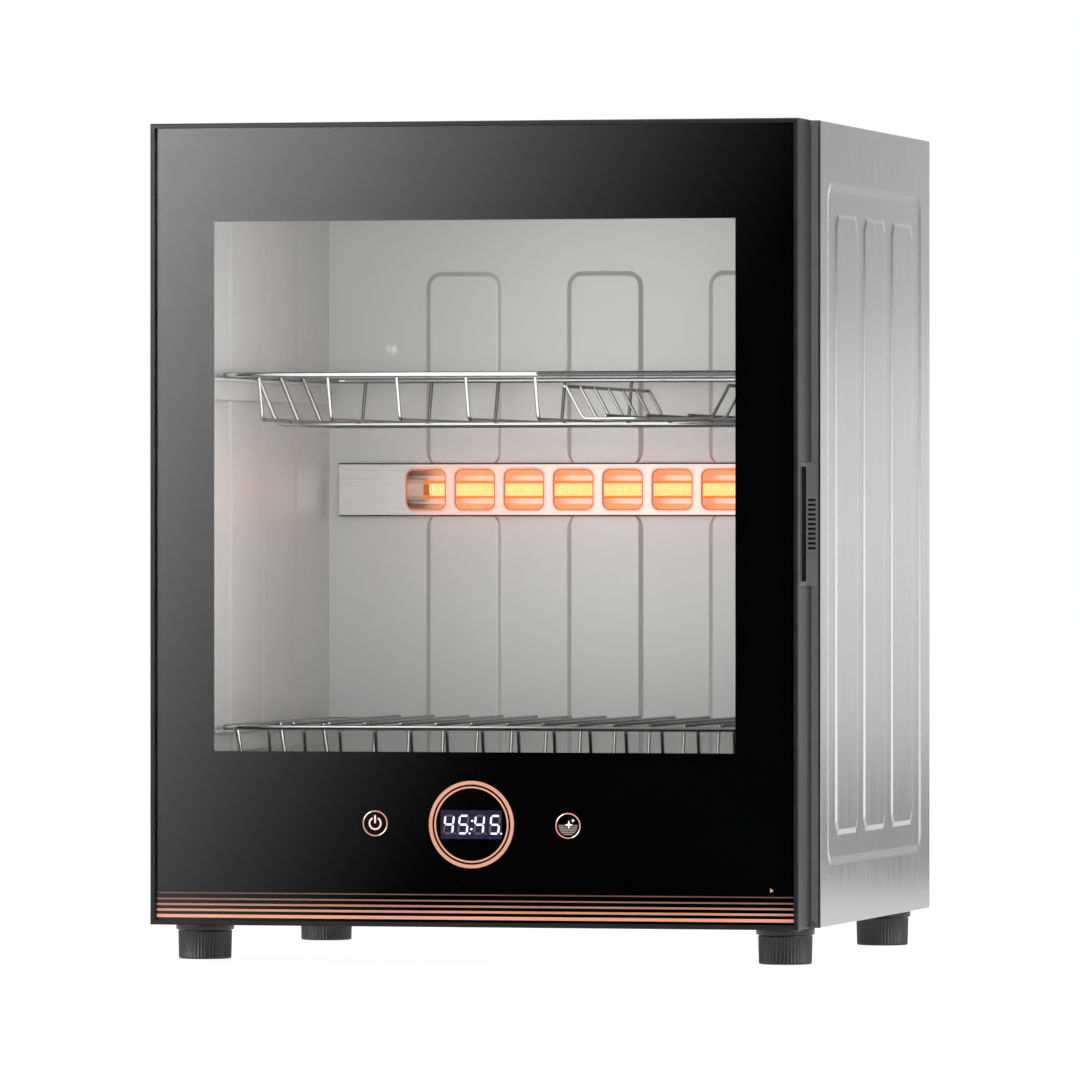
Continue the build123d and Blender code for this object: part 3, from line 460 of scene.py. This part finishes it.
def raised_field(name, outlines_by_depth):
    """A pressed field: loops of the same count at several depths, joined by bands and closed at its crest."""
    mesh = bpy.data.meshes.new(name)
    shape = bmesh.new()
    rings = [[shape.verts.new(place(x, depth, height)) for x, height in loop] for depth, loop in outlines_by_depth]
    for outer, inner in zip(rings, rings[1:]):
        for index, corner in enumerate(outer):
            following = (index + 1) % len(outer)
            shape.faces.new((corner, outer[following], inner[following], inner[index])).smooth = True
    shape.faces.new(rings[-1])
    shape.normal_update()
    shape.to_mesh(mesh)
    shape.free()
    return mesh_object(name, mesh)


def softened(node, body, slot_name, width, least_angle=4.0):
    """A copy of a node whose folded edges are round, standing for the node."""
    shape = bmesh.new()
    shape.from_mesh(frame["nodes"][node].data)
    shape.transform(frame["nodes"][node].matrix_world)
    bmesh.ops.remove_doubles(shape, verts=shape.verts, dist=0.00001)
    bmesh.ops.dissolve_limit(shape, angle_limit=radians(0.5), verts=shape.verts, edges=shape.edges)
    folds = [edge for edge in shape.edges if edge.is_manifold and edge.calc_face_angle(0.0) > radians(least_angle)]
    bmesh.ops.bevel(
        shape, geom=folds, offset=width * MM, offset_type="OFFSET", segments=4, profile=0.5, affect="EDGES",
        clamp_overlap=True,
    )
    mesh = bpy.data.meshes.new(node + "_softened")
    shape.to_mesh(mesh)
    shape.free()
    return finish_piece(mesh_object(node + "_softened", mesh), body, materials[slot_name], [node])


for node in ("side_panel_left", "side_panel_right"):
    softened(node, "cabinet", "panel_steel", 0.7)
softened("finger_pull", "door", "black_plastic", 0.4, 20.0)

# ----------------------------------------------------------------------- racks

RIM, BAR, WIRE, WELD = 1.8, 1.5, 1.2, 0.5
RACK_HALF = 188.0
RACK_FRONT, RACK_BACK = 78.0, 364.0
RIM_CORNER = 12.0
UPPER_RIM, UPPER_BED = 358.0, 328.5
LOWER_RIM, LOWER_BED = 126.8, 79.0
UPPER_PITCH, LOWER_PITCH = 46.5, 24.0
LEG_SLANT = 10.0
UPPER_INSET, LOWER_INSET = 16.0, 10.0
UPPER_BARS, LOWER_BARS = (161.0, 221.0, 281.0), (108.0, 221.0, 334.0)
CARRIER_BEND, BAR_BEND = 6.0, 9.0
DIVIDER_SHARE = 0.7


def rim_loop(height):
    """The closed middle line of a rack's rim."""
    middle = (RACK_FRONT + RACK_BACK) / 2
    outline = rounded_box((0, middle), (2 * RACK_HALF, RACK_BACK - RACK_FRONT), RIM_CORNER, ARC_STEPS)
    return [place(x, depth, height) for x, depth in outline]


def carrier(x, rim, bed):
    """A front-to-back wire from the front rim down along the bed and up to the rear rim."""
    points = [
        place(x, RACK_FRONT + WELD, rim - RIM + WELD),
        place(x, RACK_FRONT + LEG_SLANT, bed),
        place(x, RACK_BACK - LEG_SLANT, bed),
        place(x, RACK_BACK - WELD, rim - RIM + WELD),
    ]
    return rounded(points, CARRIER_BEND * MM), WIRE


def cross_bar(depth, rim, bed, inset):
    """A bar under the bed that turns up at both ends to the rim's sides."""
    low = bed - WIRE - BAR + WELD
    reach = RACK_HALF - RIM - BAR + 2 * WELD
    points = [
        place(-reach, depth, rim + 1),
        place(-RACK_HALF + inset, depth, low),
        place(RACK_HALF - inset, depth, low),
        place(reach, depth, rim + 1),
    ]
    return rounded(points, BAR_BEND * MM), BAR


upper_places = [(index - 3.5) * UPPER_PITCH for index in range(5)]
upper_wires = [carrier(x, UPPER_RIM, UPPER_BED) for x in upper_places]
upper_wires += [cross_bar(depth, UPPER_RIM, UPPER_BED, UPPER_INSET) for depth in UPPER_BARS]
upper_rack = wire_object("upper_rack_wires", upper_wires, [(rim_loop(UPPER_RIM), RIM)])
finish_piece(upper_rack, "upper_rack", materials["chrome_wire"], ["upper_rack"])

lower_places = [(index - 6.5) * LOWER_PITCH for index in range(14)]
lower_wires = [carrier(x, LOWER_RIM, LOWER_BED) for x in lower_places]
lower_wires += [cross_bar(depth, LOWER_RIM, LOWER_BED, LOWER_INSET) for depth in LOWER_BARS]
divider_height = LOWER_RIM + RIM + WIRE - WELD
for x in lower_places[:-1]:
    divider_x = x + DIVIDER_SHARE * LOWER_PITCH
    ends = [place(divider_x, depth, divider_height) for depth in (RACK_FRONT - 1, RACK_BACK + 1)]
    lower_wires.append((ends, WIRE))
lower_rack = wire_object("lower_rack_wires", lower_wires, [(rim_loop(LOWER_RIM), RIM)])
finish_piece(lower_rack, "lower_rack", materials["chrome_wire"], ["lower_rack"])

BASKET_MIDDLE = 94.0
BASKET_TOP, BASKET_BED = 55.0, 43.0
BASKET_FRONT, BASKET_BACK = 98.0, 346.0
BASKET_TALL, BASKET_GAP = 22.0, 0.3
HOOPS, HOOP_WIRE, HOOP_BEND, RUNNER = 7, 1.0, 5.0, 1.2
BED_RUNNERS = (-28, 0, 28)
basket_low = UPPER_BED - WIRE + WELD + BASKET_GAP + HOOP_WIRE
basket_high = basket_low + BASKET_TALL


def hoop(depth):
    """One trapezoid hoop of the basket, open at its top."""
    corners = (
        (-BASKET_TOP, basket_high), (-BASKET_BED, basket_low),
        (BASKET_BED, basket_low), (BASKET_TOP, basket_high),
    )
    points = [place(BASKET_MIDDLE + across, depth, height) for across, height in corners]
    return rounded(points, HOOP_BEND * MM), HOOP_WIRE


def runner(offset, height):
    """One front-to-back wire of the basket."""
    x = BASKET_MIDDLE + offset
    return [place(x, BASKET_FRONT - 2, height), place(x, BASKET_BACK + 2, height)], RUNNER


hoop_pitch = (BASKET_BACK - BASKET_FRONT) / (HOOPS - 1)
basket_wires = [hoop(BASKET_FRONT + index * hoop_pitch) for index in range(HOOPS)]
basket_wires += [runner(side * (BASKET_TOP + WELD), basket_high - 1) for side in (-1, 1)]
basket_wires += [runner(offset, basket_low + HOOP_WIRE + RUNNER - WELD) for offset in BED_RUNNERS]
basket = wire_object("basket_wires", basket_wires)
finish_piece(basket, "basket", materials["chrome_wire"], ["chopstick_basket"])

# ---------------------------------------------------------------------- heater

HEATER_HEIGHT = 283.8
HEATER_SHIFT = -4.0
GUARD_LENGTH, GUARD_TALL = 372.0, 36.3
GUARD_DEPTH = 380.0
GUARD_SHEET = 0.8
WINDOW, WINDOW_PITCH, WINDOWS, WINDOW_CORNER = 28.5, 34.5, 8, 5.5
FLANGE_DEEP = 3.2
TUBE_DEPTH = 389.5
COIL_LENGTH, COIL_RADIUS, COIL_WIRE, COIL_TURNS, TURN_STEPS = 240.0, 4.2, 0.38, 160, 12

window_centres = [
    (HEATER_SHIFT + (index - (WINDOWS - 1) / 2) * WINDOW_PITCH, HEATER_HEIGHT) for index in range(WINDOWS)
]
guard_outlines = [rounded_box((0, HEATER_HEIGHT), (GUARD_LENGTH, GUARD_TALL - 2 * GUARD_SHEET), 0.5)]
guard_outlines += [rounded_box(centre, (WINDOW, WINDOW), WINDOW_CORNER) for centre in window_centres]
guard = flat_object(
    "heater_guard_face", guard_outlines, GUARD_SHEET, facing_front(GUARD_DEPTH + GUARD_SHEET / 2), 0.2
)
finish_piece(guard, "cabinet", materials["guard_steel"], ["heater_guard"])
# the lips are the guard's steel; the rims behind them glow red as painted light from the heater
for name, depth, grow, shrink, thickness, edge, material in (
    ("guard_window_lips", GUARD_DEPTH - 0.1, 0.9, 0.1, 0.6, 0.25, materials["guard_steel"]),
    ("guard_window_painted_glow", GUARD_DEPTH + 0.9, 0.1, 1.0, 0.8, 0.0, painted_heater_glow),
):
    rings = []
    for centre in window_centres:
        for change in (grow, -shrink):
            side = WINDOW + 2 * change
            rings.append(rounded_box(centre, (side, side), WINDOW_CORNER + change))
    lip = flat_object(name, rings, thickness, facing_front(depth), edge)
    finish_piece(lip, "cabinet", material)
# painted shadow: the guard's flanges are near black to stand for the shade between the guard and the back wall
for name, side in (("guard_flange_top", 1), ("guard_flange_bottom", -1)):
    centre = (GUARD_DEPTH + FLANGE_DEEP / 2, HEATER_HEIGHT + side * (GUARD_TALL - GUARD_SHEET) / 2)
    section = rounded_box(centre, (FLANGE_DEEP, GUARD_SHEET), 0.2, 2)
    flange = flat_object(name, [section], GUARD_LENGTH, facing_right(0))
    finish_piece(flange, "cabinet", painted_shadow_black)

coil_steps = COIL_TURNS * TURN_STEPS
coil_path = []
for step in range(coil_steps + 1):
    angle = 2 * pi * step / TURN_STEPS
    x = HEATER_SHIFT + (step / coil_steps - 0.5) * COIL_LENGTH
    coil_path.append(place(x, TUBE_DEPTH + COIL_RADIUS * cos(angle), HEATER_HEIGHT + COIL_RADIUS * sin(angle)))
coil = wire_object("filament_coil", [(coil_path, COIL_WIRE)])
finish_piece(coil, "cabinet", materials["filament"], ["heater_filament"])
core_ends = [place(HEATER_SHIFT + side * COIL_LENGTH / 2, TUBE_DEPTH, HEATER_HEIGHT) for side in (-1, 1)]
core = wire_object("filament_core", [(core_ends, COIL_RADIUS - 0.3)])
finish_piece(core, "cabinet", core_glow)

# ------------------------------------------------------------------- back wall

LINER_BACK, LINER_SHEET = 385.0, 0.8
CAVITY_HALF, CAVITY_FLOOR, CAVITY_TOP = 194.0, 40.0, 498.0
RIB_PITCH, RIB_WIDE, RIB_LOW, RIB_HIGH = 98.8, 54.0, 52.0, 433.0
RIB_RISE, RIB_SLOPE, RIB_CORNER = 1.6, 4.0, 11.0
RIB_END = 16.0
RIB_SHARES = (0.0, 0.12, 0.3, 0.7, 0.88, 1.0)
HEATER_SLOT = (300.0, 27.0)

back_sheet = flat_object(
    "liner_back_sheet",
    [
        rounded_box((0, (CAVITY_FLOOR + CAVITY_TOP) / 2), (2 * CAVITY_HALF, CAVITY_TOP - CAVITY_FLOOR), 0.5, 1),
        rounded_box((0, HEATER_HEIGHT), HEATER_SLOT, 0.5, 1),
    ],
    LINER_SHEET, facing_front(LINER_BACK + LINER_SHEET / 2),
)
finish_piece(back_sheet, "cabinet", materials["liner_steel"], ["liner_back"])
for column in (-1, 0, 1):
    for name, low, high in (
        ("lower", RIB_LOW, HEATER_HEIGHT - RIB_END), ("upper", HEATER_HEIGHT + RIB_END, RIB_HIGH)
    ):
        loops = []
        for share in RIB_SHARES:
            rise = RIB_RISE * (1 - cos(pi * share)) / 2
            shrink = RIB_SLOPE * share
            floor = low + (shrink if name == "lower" else 0)
            ceiling = high - (shrink if name == "upper" else 0)
            centre = (column * RIB_PITCH, (floor + ceiling) / 2)
            size = (RIB_WIDE - 2 * shrink, ceiling - floor)
            loops.append((LINER_BACK - rise, rounded_box(centre, size, RIB_CORNER - shrink)))
        rib = raised_field(f"liner_rib_{name}_{column + 1}", loops)
        finish_piece(rib, "cabinet", materials["liner_steel"])

# ----------------------------------------------------------------- finger pull

DOOR_HALF, DOOR_TALL = 215.0, 520.0
PULL_PLACE, PULL_SIZE = (16.0, 260.0), (16.6, 74.0)
PULL_RIM, PULL_CORNER = 1.2, 3.0

pull_outlines = [
    rounded_box(PULL_PLACE, (PULL_SIZE[0] + 2 * PULL_RIM, PULL_SIZE[1] + 2 * PULL_RIM), PULL_CORNER + 1),
    rounded_box(PULL_PLACE, PULL_SIZE, PULL_CORNER),
]
rim = flat_object("pull_rim", pull_outlines, 0.8, facing_right(DOOR_HALF), 0.3)
finish_piece(rim, "door", materials["grey_frame"])

# painted shadow: a near-black strip where the side panels meet the front frame stands for the shade in that gap;
# and the panels' rolled front edges
PANEL_HALF = 220.0
GAP_DEPTH, GAP_WIDE = 43.0, 0.9
ROLL_DEPTH, ROLL_RADIUS = 44.6, 0.6
for name, side in (("right", 1), ("left", -1)):
    gap = rounded_box((GAP_DEPTH, DOOR_TALL / 2), (GAP_WIDE, DOOR_TALL - 1), 0.1, 1)
    line = flat_object("panel_gap_shadow_" + name, [gap], 0.8, facing_right(side * PANEL_HALF))
    finish_piece(line, "cabinet", painted_shadow_black)
    roll_x = side * (PANEL_HALF - 0.1)
    path = [place(roll_x, ROLL_DEPTH, height) for height in (0.7, DOOR_TALL - 0.7)]
    roll = wire_object("panel_roll_" + name, [(path, ROLL_RADIUS)])
    finish_piece(roll, "cabinet", materials["panel_steel"])

# ------------------------------------------------------------ printed controls

PRINT_DEPTH = 3.8
PRINT_THICKNESS = 0.12
CONTROL_MIDDLE, CONTROL_HEIGHT = -1.2, 66.2
print_plane = facing_front(PRINT_DEPTH)
raised_plane = facing_front(PRINT_DEPTH - 0.2)


def printed(name, outlines, material, plane=print_plane):
    """A printed mark just in front of the black print behind the glass."""
    mark = flat_object(name, outlines, PRINT_THICKNESS, plane)
    return finish_piece(mark, "door", material)


ring_centre = (CONTROL_MIDDLE, CONTROL_HEIGHT)
for name, radii in (("outer", (28.2, 25.9)), ("inner", (24.65, 23.5))):
    circles = [circle(ring_centre, radius, 120) for radius in radii]
    printed("display_ring_" + name, circles, copper_print_with_painted_glow)
printed("display_window", [rounded_box(ring_centre, (40.6, 18.6), 0.6)], materials["display_blue"])

DIGIT_WIDE, DIGIT_TALL, SEGMENT, SEGMENT_GAP = 5.6, 11.4, 1.25, 0.35
DIGIT_SLANT = 0.10
LIT = {"4": "bcfg", "5": "acdfg"}
DIGITS = (("4", -14.9), ("5", -5.3), ("4", 5.3), ("5", 15.6))
DOT_OFFSET, DOT_RADIUS, COLON_RADIUS = 4.2, 0.6, 0.75
COLON_PLACES = ((0.7, 2.4), (0.1, -2.9))


def segment_outline(start, end):
    """A segment of a digit as a six-sided bar between two points."""
    start, end = Vector(start), Vector(end)
    along = (end - start).normalized()
    across = Vector((-along.y, along.x)) * SEGMENT / 2
    start, end = start + along * SEGMENT_GAP, end - along * SEGMENT_GAP
    inner_start, inner_end = start + along * SEGMENT / 2, end - along * SEGMENT / 2
    return [start, inner_start - across, inner_end - across, end, inner_end + across, inner_start + across]


def slanted(outline, centre):
    """An outline about a digit's centre, leaning to the right as the digits do."""
    return [(centre[0] + x + y * DIGIT_SLANT, centre[1] + y) for x, y in outline]


wide, tall = DIGIT_WIDE / 2, DIGIT_TALL / 2
segments = {
    "a": ((-wide, tall), (wide, tall)),
    "b": ((wide, tall), (wide, 0)),
    "c": ((wide, 0), (wide, -tall)),
    "d": ((-wide, -tall), (wide, -tall)),
    "e": ((-wide, 0), (-wide, -tall)),
    "f": ((-wide, tall), (-wide, 0)),
    "g": ((-wide, 0), (wide, 0)),
}
lit_outlines, ghost_outlines = [], []
for digit, offset in DIGITS:
    x = CONTROL_MIDDLE + offset
    for key, (start, end) in segments.items():
        group = lit_outlines if key in LIT[digit] else ghost_outlines
        group.append(slanted(segment_outline(start, end), (x, CONTROL_HEIGHT)))
    dot = circle((x + DOT_OFFSET, CONTROL_HEIGHT - tall), DOT_RADIUS, 20)
    (lit_outlines if digit == "5" else ghost_outlines).append(dot)
for across, up in COLON_PLACES:
    lit_outlines.append(circle((CONTROL_MIDDLE + across, CONTROL_HEIGHT + up), COLON_RADIUS, 24))
printed("display_digits", lit_outlines, digit_glow, raised_plane)
printed("display_ghosts", ghost_outlines, ghost_segment, raised_plane)

KEY_OFFSET, KEY_RAISE, KEY_RADIUS, KEY_LINE = 64.0, 0.4, 8.3, 0.75
PAINTED_HIGHLIGHT_STARTS, PAINTED_HIGHLIGHT_SPAN = (110, 290), 50
power_centre = (CONTROL_MIDDLE - KEY_OFFSET, CONTROL_HEIGHT + KEY_RAISE)
sparkle_centre = (CONTROL_MIDDLE + KEY_OFFSET, CONTROL_HEIGHT - KEY_RAISE)
for name, centre in (("power_key_ring", power_centre), ("sparkle_key_ring", sparkle_centre)):
    printed(name, [circle(centre, KEY_RADIUS), circle(centre, KEY_RADIUS - KEY_LINE)], copper_print_with_painted_glow)
    # painted highlights: two pale glowing arcs on each key's copper ring stand for glints of light on it
    painted_highlights = [
        arc_band(centre, KEY_RADIUS - KEY_LINE + 0.05, KEY_RADIUS - 0.05, start, start + PAINTED_HIGHLIGHT_SPAN)
        for start in PAINTED_HIGHLIGHT_STARTS
    ]
    printed(name + "_painted_highlight", painted_highlights, star_glow, raised_plane)
printed("power_key_arc", [arc_band(power_centre, 3.2, 4.3, 118, 422)], button_glow)
power_bar = rounded_box((power_centre[0], power_centre[1] + 2.7), (1.2, 5.4), 0.59)
printed("power_key_bar", [power_bar], button_glow, raised_plane)


def sharp_star(centre, reach, waist):
    """A four-pointed star drawn with eight points."""
    points = []
    for step in range(8):
        radius, angle = (waist if step % 2 else reach), pi * step / 4
        points.append((centre[0] + radius * cos(angle), centre[1] + radius * sin(angle)))
    return points


star_centre = (sparkle_centre[0] + 0.6, sparkle_centre[1] + 0.6)
small_centre = (star_centre[0] + 2.7, star_centre[1] + 2.8)
stars = [sharp_star(star_centre, 3.1, 0.9), sharp_star(small_centre, 1.4, 0.45)]
printed("sparkle_key_stars", stars, star_glow, raised_plane)
# a slightly larger black star keeps the water lines clear of the white one
printed(
    "sparkle_key_gap", [sharp_star(star_centre, 4.1, 1.8)], materials["black_print"],
    facing_front(PRINT_DEPTH - 0.1),
)
WATER_RADIUS, WATER_TOP, WATER_PITCH, WATER_LINES = 6.3, 0.2, 1.14, 6
water_lines = []
for index in range(WATER_LINES):
    offset = WATER_TOP - index * WATER_PITCH
    length = 2 * (WATER_RADIUS**2 - offset**2) ** 0.5
    water_lines.append(rounded_box((sparkle_centre[0], sparkle_centre[1] + offset), (length, 0.6), 0.28, 3))
printed("sparkle_key_water", water_lines, button_dim)

ARROW_TIP, ARROW_LENGTH, ARROW_HALF = (198.0, 25.2), 2.2, 1.5
arrow_back = ARROW_TIP[0] - ARROW_LENGTH
arrow = [(arrow_back, ARROW_TIP[1] - ARROW_HALF), ARROW_TIP, (arrow_back, ARROW_TIP[1] + ARROW_HALF)]
printed("open_arrow", [arrow], copper_print_with_painted_glow)

# each stripe's height, thickness and share of full brightness
STRIPE_LENGTH = 423.0
STRIPES = ((5.8, 2.1, 1.0), (9.7, 1.5, 0.72), (13.3, 1.3, 0.5), (16.9, 1.0, 0.3), (20.8, 0.8, 0.14))
for index, (height, thickness, share) in enumerate(STRIPES):
    dark = [channel * share for channel in (0.72, 0.31, 0.19)]
    light = [channel * share for channel in (0.86, 0.42, 0.28)]
    # painted glow: the stripes' emission gives the printed ink light of its own, fainter on the fainter stripes
    stripe_painted_glow = tuple(channel * share for channel in (0.95, 0.36, 0.19))
    stripe_paint = speckled(
        f"stripe_paint_{index}", dark, light, 700, (0.3, 0.42), 0.1,
        Emission_Color=(*stripe_painted_glow, 1), Emission_Strength=0.4,
    )
    stripe = [rounded_box((0, height), (STRIPE_LENGTH, thickness), 0.05, 1)]
    printed(f"stripe_{index}", stripe, stripe_paint)

# ------------------------------------------------------------------------ feet

FOOT_PROFILE = (
    (4.5, 0.0, False), (16.6, 0.0, False), (17.2, 0.7, False), (17.2, 1.6, True), (17.6, 17.6, True),
    (17.6, 18.2, False), (16.6, 18.5, False), (17.9, 18.8, False), (19.0, 19.5, False), (19.0, 23.2, False),
    (18.4, 24.0, False), (4.5, 24.0, False),
)
for name in ("foot_front_left", "foot_rear_left", "foot_front_right", "foot_rear_right"):
    low, high = (Vector(corner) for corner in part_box(name))
    centre = Vector(((low.x + high.x) / 2, (low.y + high.y) / 2, 0))
    foot = lathe_object(name + "_cup", centre, FOOT_PROFILE, 192, 0.45)
    finish_piece(foot, "cabinet", materials["foot_rubber"], [name])

# ----------------------------------------------------------------------- stage


def stage_material(name):
    """A plain light-giving surface for a card, with its tree and its emission."""
    material = bpy.data.materials.new(name)
    material.use_nodes = True
    tree = material.node_tree
    tree.nodes.clear()
    output = tree.nodes.new("ShaderNodeOutputMaterial")
    emission = tree.nodes.new("ShaderNodeEmission")
    emission.inputs["Color"].default_value = (1, 1, 1, 1)
    tree.links.new(emission.outputs["Emission"], output.inputs["Surface"])
    return material, tree, emission


def card(name, centre, across, up, material):
    """A flat card from its centre and its two half-side vectors."""
    mesh = bpy.data.meshes.new(name)
    shape = bmesh.new()
    corners = [centre - across - up, centre + across - up, centre + across + up, centre - across + up]
    face = shape.faces.new([shape.verts.new(corner) for corner in corners])
    mapping = shape.loops.layers.uv.new("place")
    for loop, spot in zip(face.loops, ((0, 0), (1, 0), (1, 1), (0, 1))):
        loop[mapping].uv = spot
    shape.to_mesh(mesh)
    shape.free()
    piece = mesh_object(name, mesh)
    mesh.materials.append(material)
    return piece


def only_reflected(piece):
    """Show a card to nothing but the rays that come off gloss."""
    for visibility in ("visible_camera", "visible_diffuse", "visible_shadow", "visible_transmission"):
        setattr(piece, visibility, False)


def card_place(tree):
    """Where a card is hit, from 0 to 1 across it and up it."""
    where = tree.nodes.new("ShaderNodeUVMap")
    where.uv_map = "place"
    split = tree.nodes.new("ShaderNodeSeparateXYZ")
    tree.links.new(where.outputs["UV"], split.inputs["Vector"])
    return split.outputs["X"], split.outputs["Y"]


def background_rays(tree):
    """One for the rays that see the white background: from the camera, off metal and through glass."""
    rays = tree.nodes.new("ShaderNodeLightPath")
    seen = rays.outputs["Is Camera Ray"]
    for kind in ("Is Glossy Ray", "Is Transmission Ray"):
        seen = math_step(tree, "MAXIMUM", seen, rays.outputs[kind])
    return seen


# the floor is white to the camera, and keeps the object's soft shadow
FLOOR_WHITENESS = 0.86
FLOOR_HALF = 12
floor_material = bpy.data.materials.new("floor")
floor_material.use_nodes = True
tree = floor_material.node_tree
surface = tree.nodes["Principled BSDF"]
set_inputs(surface, Roughness=0.6)
surface.inputs["Base Color"].default_value = (0.9, 0.9, 0.9, 1)
white = tree.nodes.new("ShaderNodeEmission")
white.inputs["Strength"].default_value = 1.1
share = math_step(tree, "MULTIPLY", background_rays(tree), FLOOR_WHITENESS)
blend = tree.nodes.new("ShaderNodeMixShader")
tree.links.new(share, blend.inputs["Fac"])
tree.links.new(surface.outputs["BSDF"], blend.inputs[1])
tree.links.new(white.outputs["Emission"], blend.inputs[2])
tree.links.new(blend.outputs["Shader"], tree.nodes["Material Output"].inputs["Surface"])
card("floor", Vector((0, 0, -0.0005)), Vector((FLOOR_HALF, 0, 0)), Vector((0, FLOOR_HALF, 0)), floor_material)

world = bpy.data.worlds.new("studio")
bpy.context.scene.world = world
world.use_nodes = True
tree = world.node_tree
ambient = tree.nodes["Background"]
ambient.inputs["Color"].default_value = (0.95, 0.97, 1.0, 1)
ambient.inputs["Strength"].default_value = 0.55
seen = tree.nodes.new("ShaderNodeBackground")
seen.inputs["Color"].default_value = (1, 1, 1, 1)
seen.inputs["Strength"].default_value = 1.0
blend = tree.nodes.new("ShaderNodeMixShader")
tree.links.new(background_rays(tree), blend.inputs["Fac"])
tree.links.new(ambient.outputs["Background"], blend.inputs[1])
tree.links.new(seen.outputs["Background"], blend.inputs[2])
tree.links.new(blend.outputs["Shader"], tree.nodes["World Output"].inputs["Surface"])


def area_light(name, centre, target, size, power, colour=(1, 1, 1)):
    """A soft rectangular lamp that points at a target."""
    lamp = bpy.data.lights.new(name, "AREA")
    lamp.shape = "RECTANGLE"
    lamp.size, lamp.size_y = size
    lamp.energy = power
    lamp.color = colour
    holder = bpy.data.objects.new(name, lamp)
    holder.location = centre
    holder.rotation_euler = (Vector(target) - Vector(centre)).to_track_quat("-Z", "Y").to_euler()
    bpy.context.scene.collection.objects.link(holder)


middle = (0, 0, 0.28)
area_light("key", (-1.6, -2.4, 2.2), middle, (1.6, 1.6), 12)
area_light("right_fill", (3.2, -1.2, 0.9), middle, (1.2, 2.2), 60)
area_light("top", (0.2, 0.2, 2.6), middle, (1.8, 1.8), 30)
area_light("inside", (-0.05, -0.150, 0.35), (-0.15, 0.2, 0.34), (0.28, 0.36), 0.78)
area_light("heater_glow", (0, 0.166, 0.3078), (0, 0.4, 0.3078), (0.27, 0.04), 0.03, (1.0, 0.3, 0.14))

# The card that the door's glass reflects is pale at its upper left and black at its lower right. Rays that have
# crossed more surfaces than the outer pane's come from inside the cabinet, and see it as an even grey.
CAMERA_TURN = radians(13.28)
CARD_DISTANCE, CARD_HALF = 0.6, 0.634
LEVEL_BASE, LEVEL_UP, LEVEL_ACROSS, LEVEL_TOP = 0.476, 0.812, -1.492, 0.75
CARD_POWER, CARD_BRIGHTNESS = 2.0, 25.0
CROSSINGS, GREY_INSIDE = 5.5, 0.4
card_material, tree, emission = stage_material("reflected_card")
card_x, card_y = card_place(tree)
level = math_step(tree, "MULTIPLY_ADD", card_y, LEVEL_UP, LEVEL_BASE)
level = math_step(tree, "MULTIPLY_ADD", card_x, LEVEL_ACROSS, level)
for operation, number in (
    ("MAXIMUM", 0.0), ("MINIMUM", LEVEL_TOP), ("POWER", CARD_POWER), ("MULTIPLY", CARD_BRIGHTNESS)
):
    level = math_step(tree, operation, level, number)
rays = tree.nodes.new("ShaderNodeLightPath")
inside = math_step(tree, "GREATER_THAN", rays.outputs["Transparent Depth"], CROSSINGS)
choice = tree.nodes.new("ShaderNodeMix")
choice.inputs["B"].default_value = GREY_INSIDE
tree.links.new(inside, choice.inputs["Factor"])
tree.links.new(level, choice.inputs["A"])
tree.links.new(choice.outputs["Result"], emission.inputs["Strength"])
reflected = Vector((-sin(CAMERA_TURN), -cos(CAMERA_TURN), 0))
card_centre = place(0, 0, 260) + reflected * CARD_DISTANCE
card_across = Vector((cos(CAMERA_TURN), -sin(CAMERA_TURN), 0)) * CARD_HALF
only_reflected(card("reflected_card", card_centre, card_across, Vector((0, 0, CARD_HALF)), card_material))

# cards that the side panel's steel and its bevels catch: each is seen along one direction off the steel
PANEL_MIDDLE = Vector((0.2205, 0, 0.284))
SIDE_DISTANCE, SIDE_HALF_TALL, SIDE_PEAK = 1.3, 0.45, 2.5


def graded_card(name, direction, half_wide, stops):
    """An upright card that faces the side panel, whose strength follows stops of height share and strength."""
    material, tree, emission = stage_material(name)
    curve = tree.nodes.new("ShaderNodeFloatCurve")
    points = curve.mapping.curves[0].points
    for point, (share, strength) in zip(points, (stops[0], stops[-1])):
        point.location = (share, strength / SIDE_PEAK)
    for share, strength in stops[1:-1]:
        points.new(share, strength / SIDE_PEAK)
    curve.mapping.update()
    tree.links.new(card_place(tree)[1], curve.inputs["Value"])
    tree.links.new(math_step(tree, "MULTIPLY", curve.outputs["Value"], SIDE_PEAK), emission.inputs["Strength"])
    toward = Vector((*direction, 0)).normalized()
    across = Vector((toward.y, -toward.x, 0)) * half_wide
    up = Vector((0, 0, SIDE_HALF_TALL))
    only_reflected(card(name, PANEL_MIDDLE + toward * SIDE_DISTANCE, across, up, material))


for name, direction, half_wide, stops in (
    ("side_card", (0.2297, 0.9733), 0.15, ((0, 0.1), (0.22, 0.2), (0.36, 0.75), (0.6, 0.9), (0.72, 0.6), (1, 0.6))),
    ("front_edge_card", (-0.033, 0.9995), 0.16, ((0, 1.9), (0.5, 2.1), (1, 1.9))),
    ("back_edge_card", (0.476, 0.879), 0.16, ((0, 1.5), (0.45, 1.6), (0.62, 0.9), (0.8, 0.4), (1, 0.4))),
    ("rib_edge_card", (0.686, 0.727), 0.18, ((0, 2.0), (0.5, 2.1), (0.66, 1.6), (0.74, 0.3), (1, 0.25))),
):
    graded_card(name, direction, half_wide, stops)

# ---------------------------------------------------------------------- camera

camera = bpy.data.cameras.new("camera")
camera.sensor_width = 36.0
camera.lens = 342.27
camera.shift_y = -0.0084
camera.clip_end = 50.0
viewpoint = bpy.data.objects.new("camera", camera)
viewpoint.location = (1.5631, -6.6352, 0.2796)
viewpoint.rotation_euler = (pi / 2, 0, CAMERA_TURN)
bpy.context.scene.collection.objects.link(viewpoint)
bpy.context.scene.camera = viewpoint

bpy.context.scene.view_settings.view_transform = "Standard"
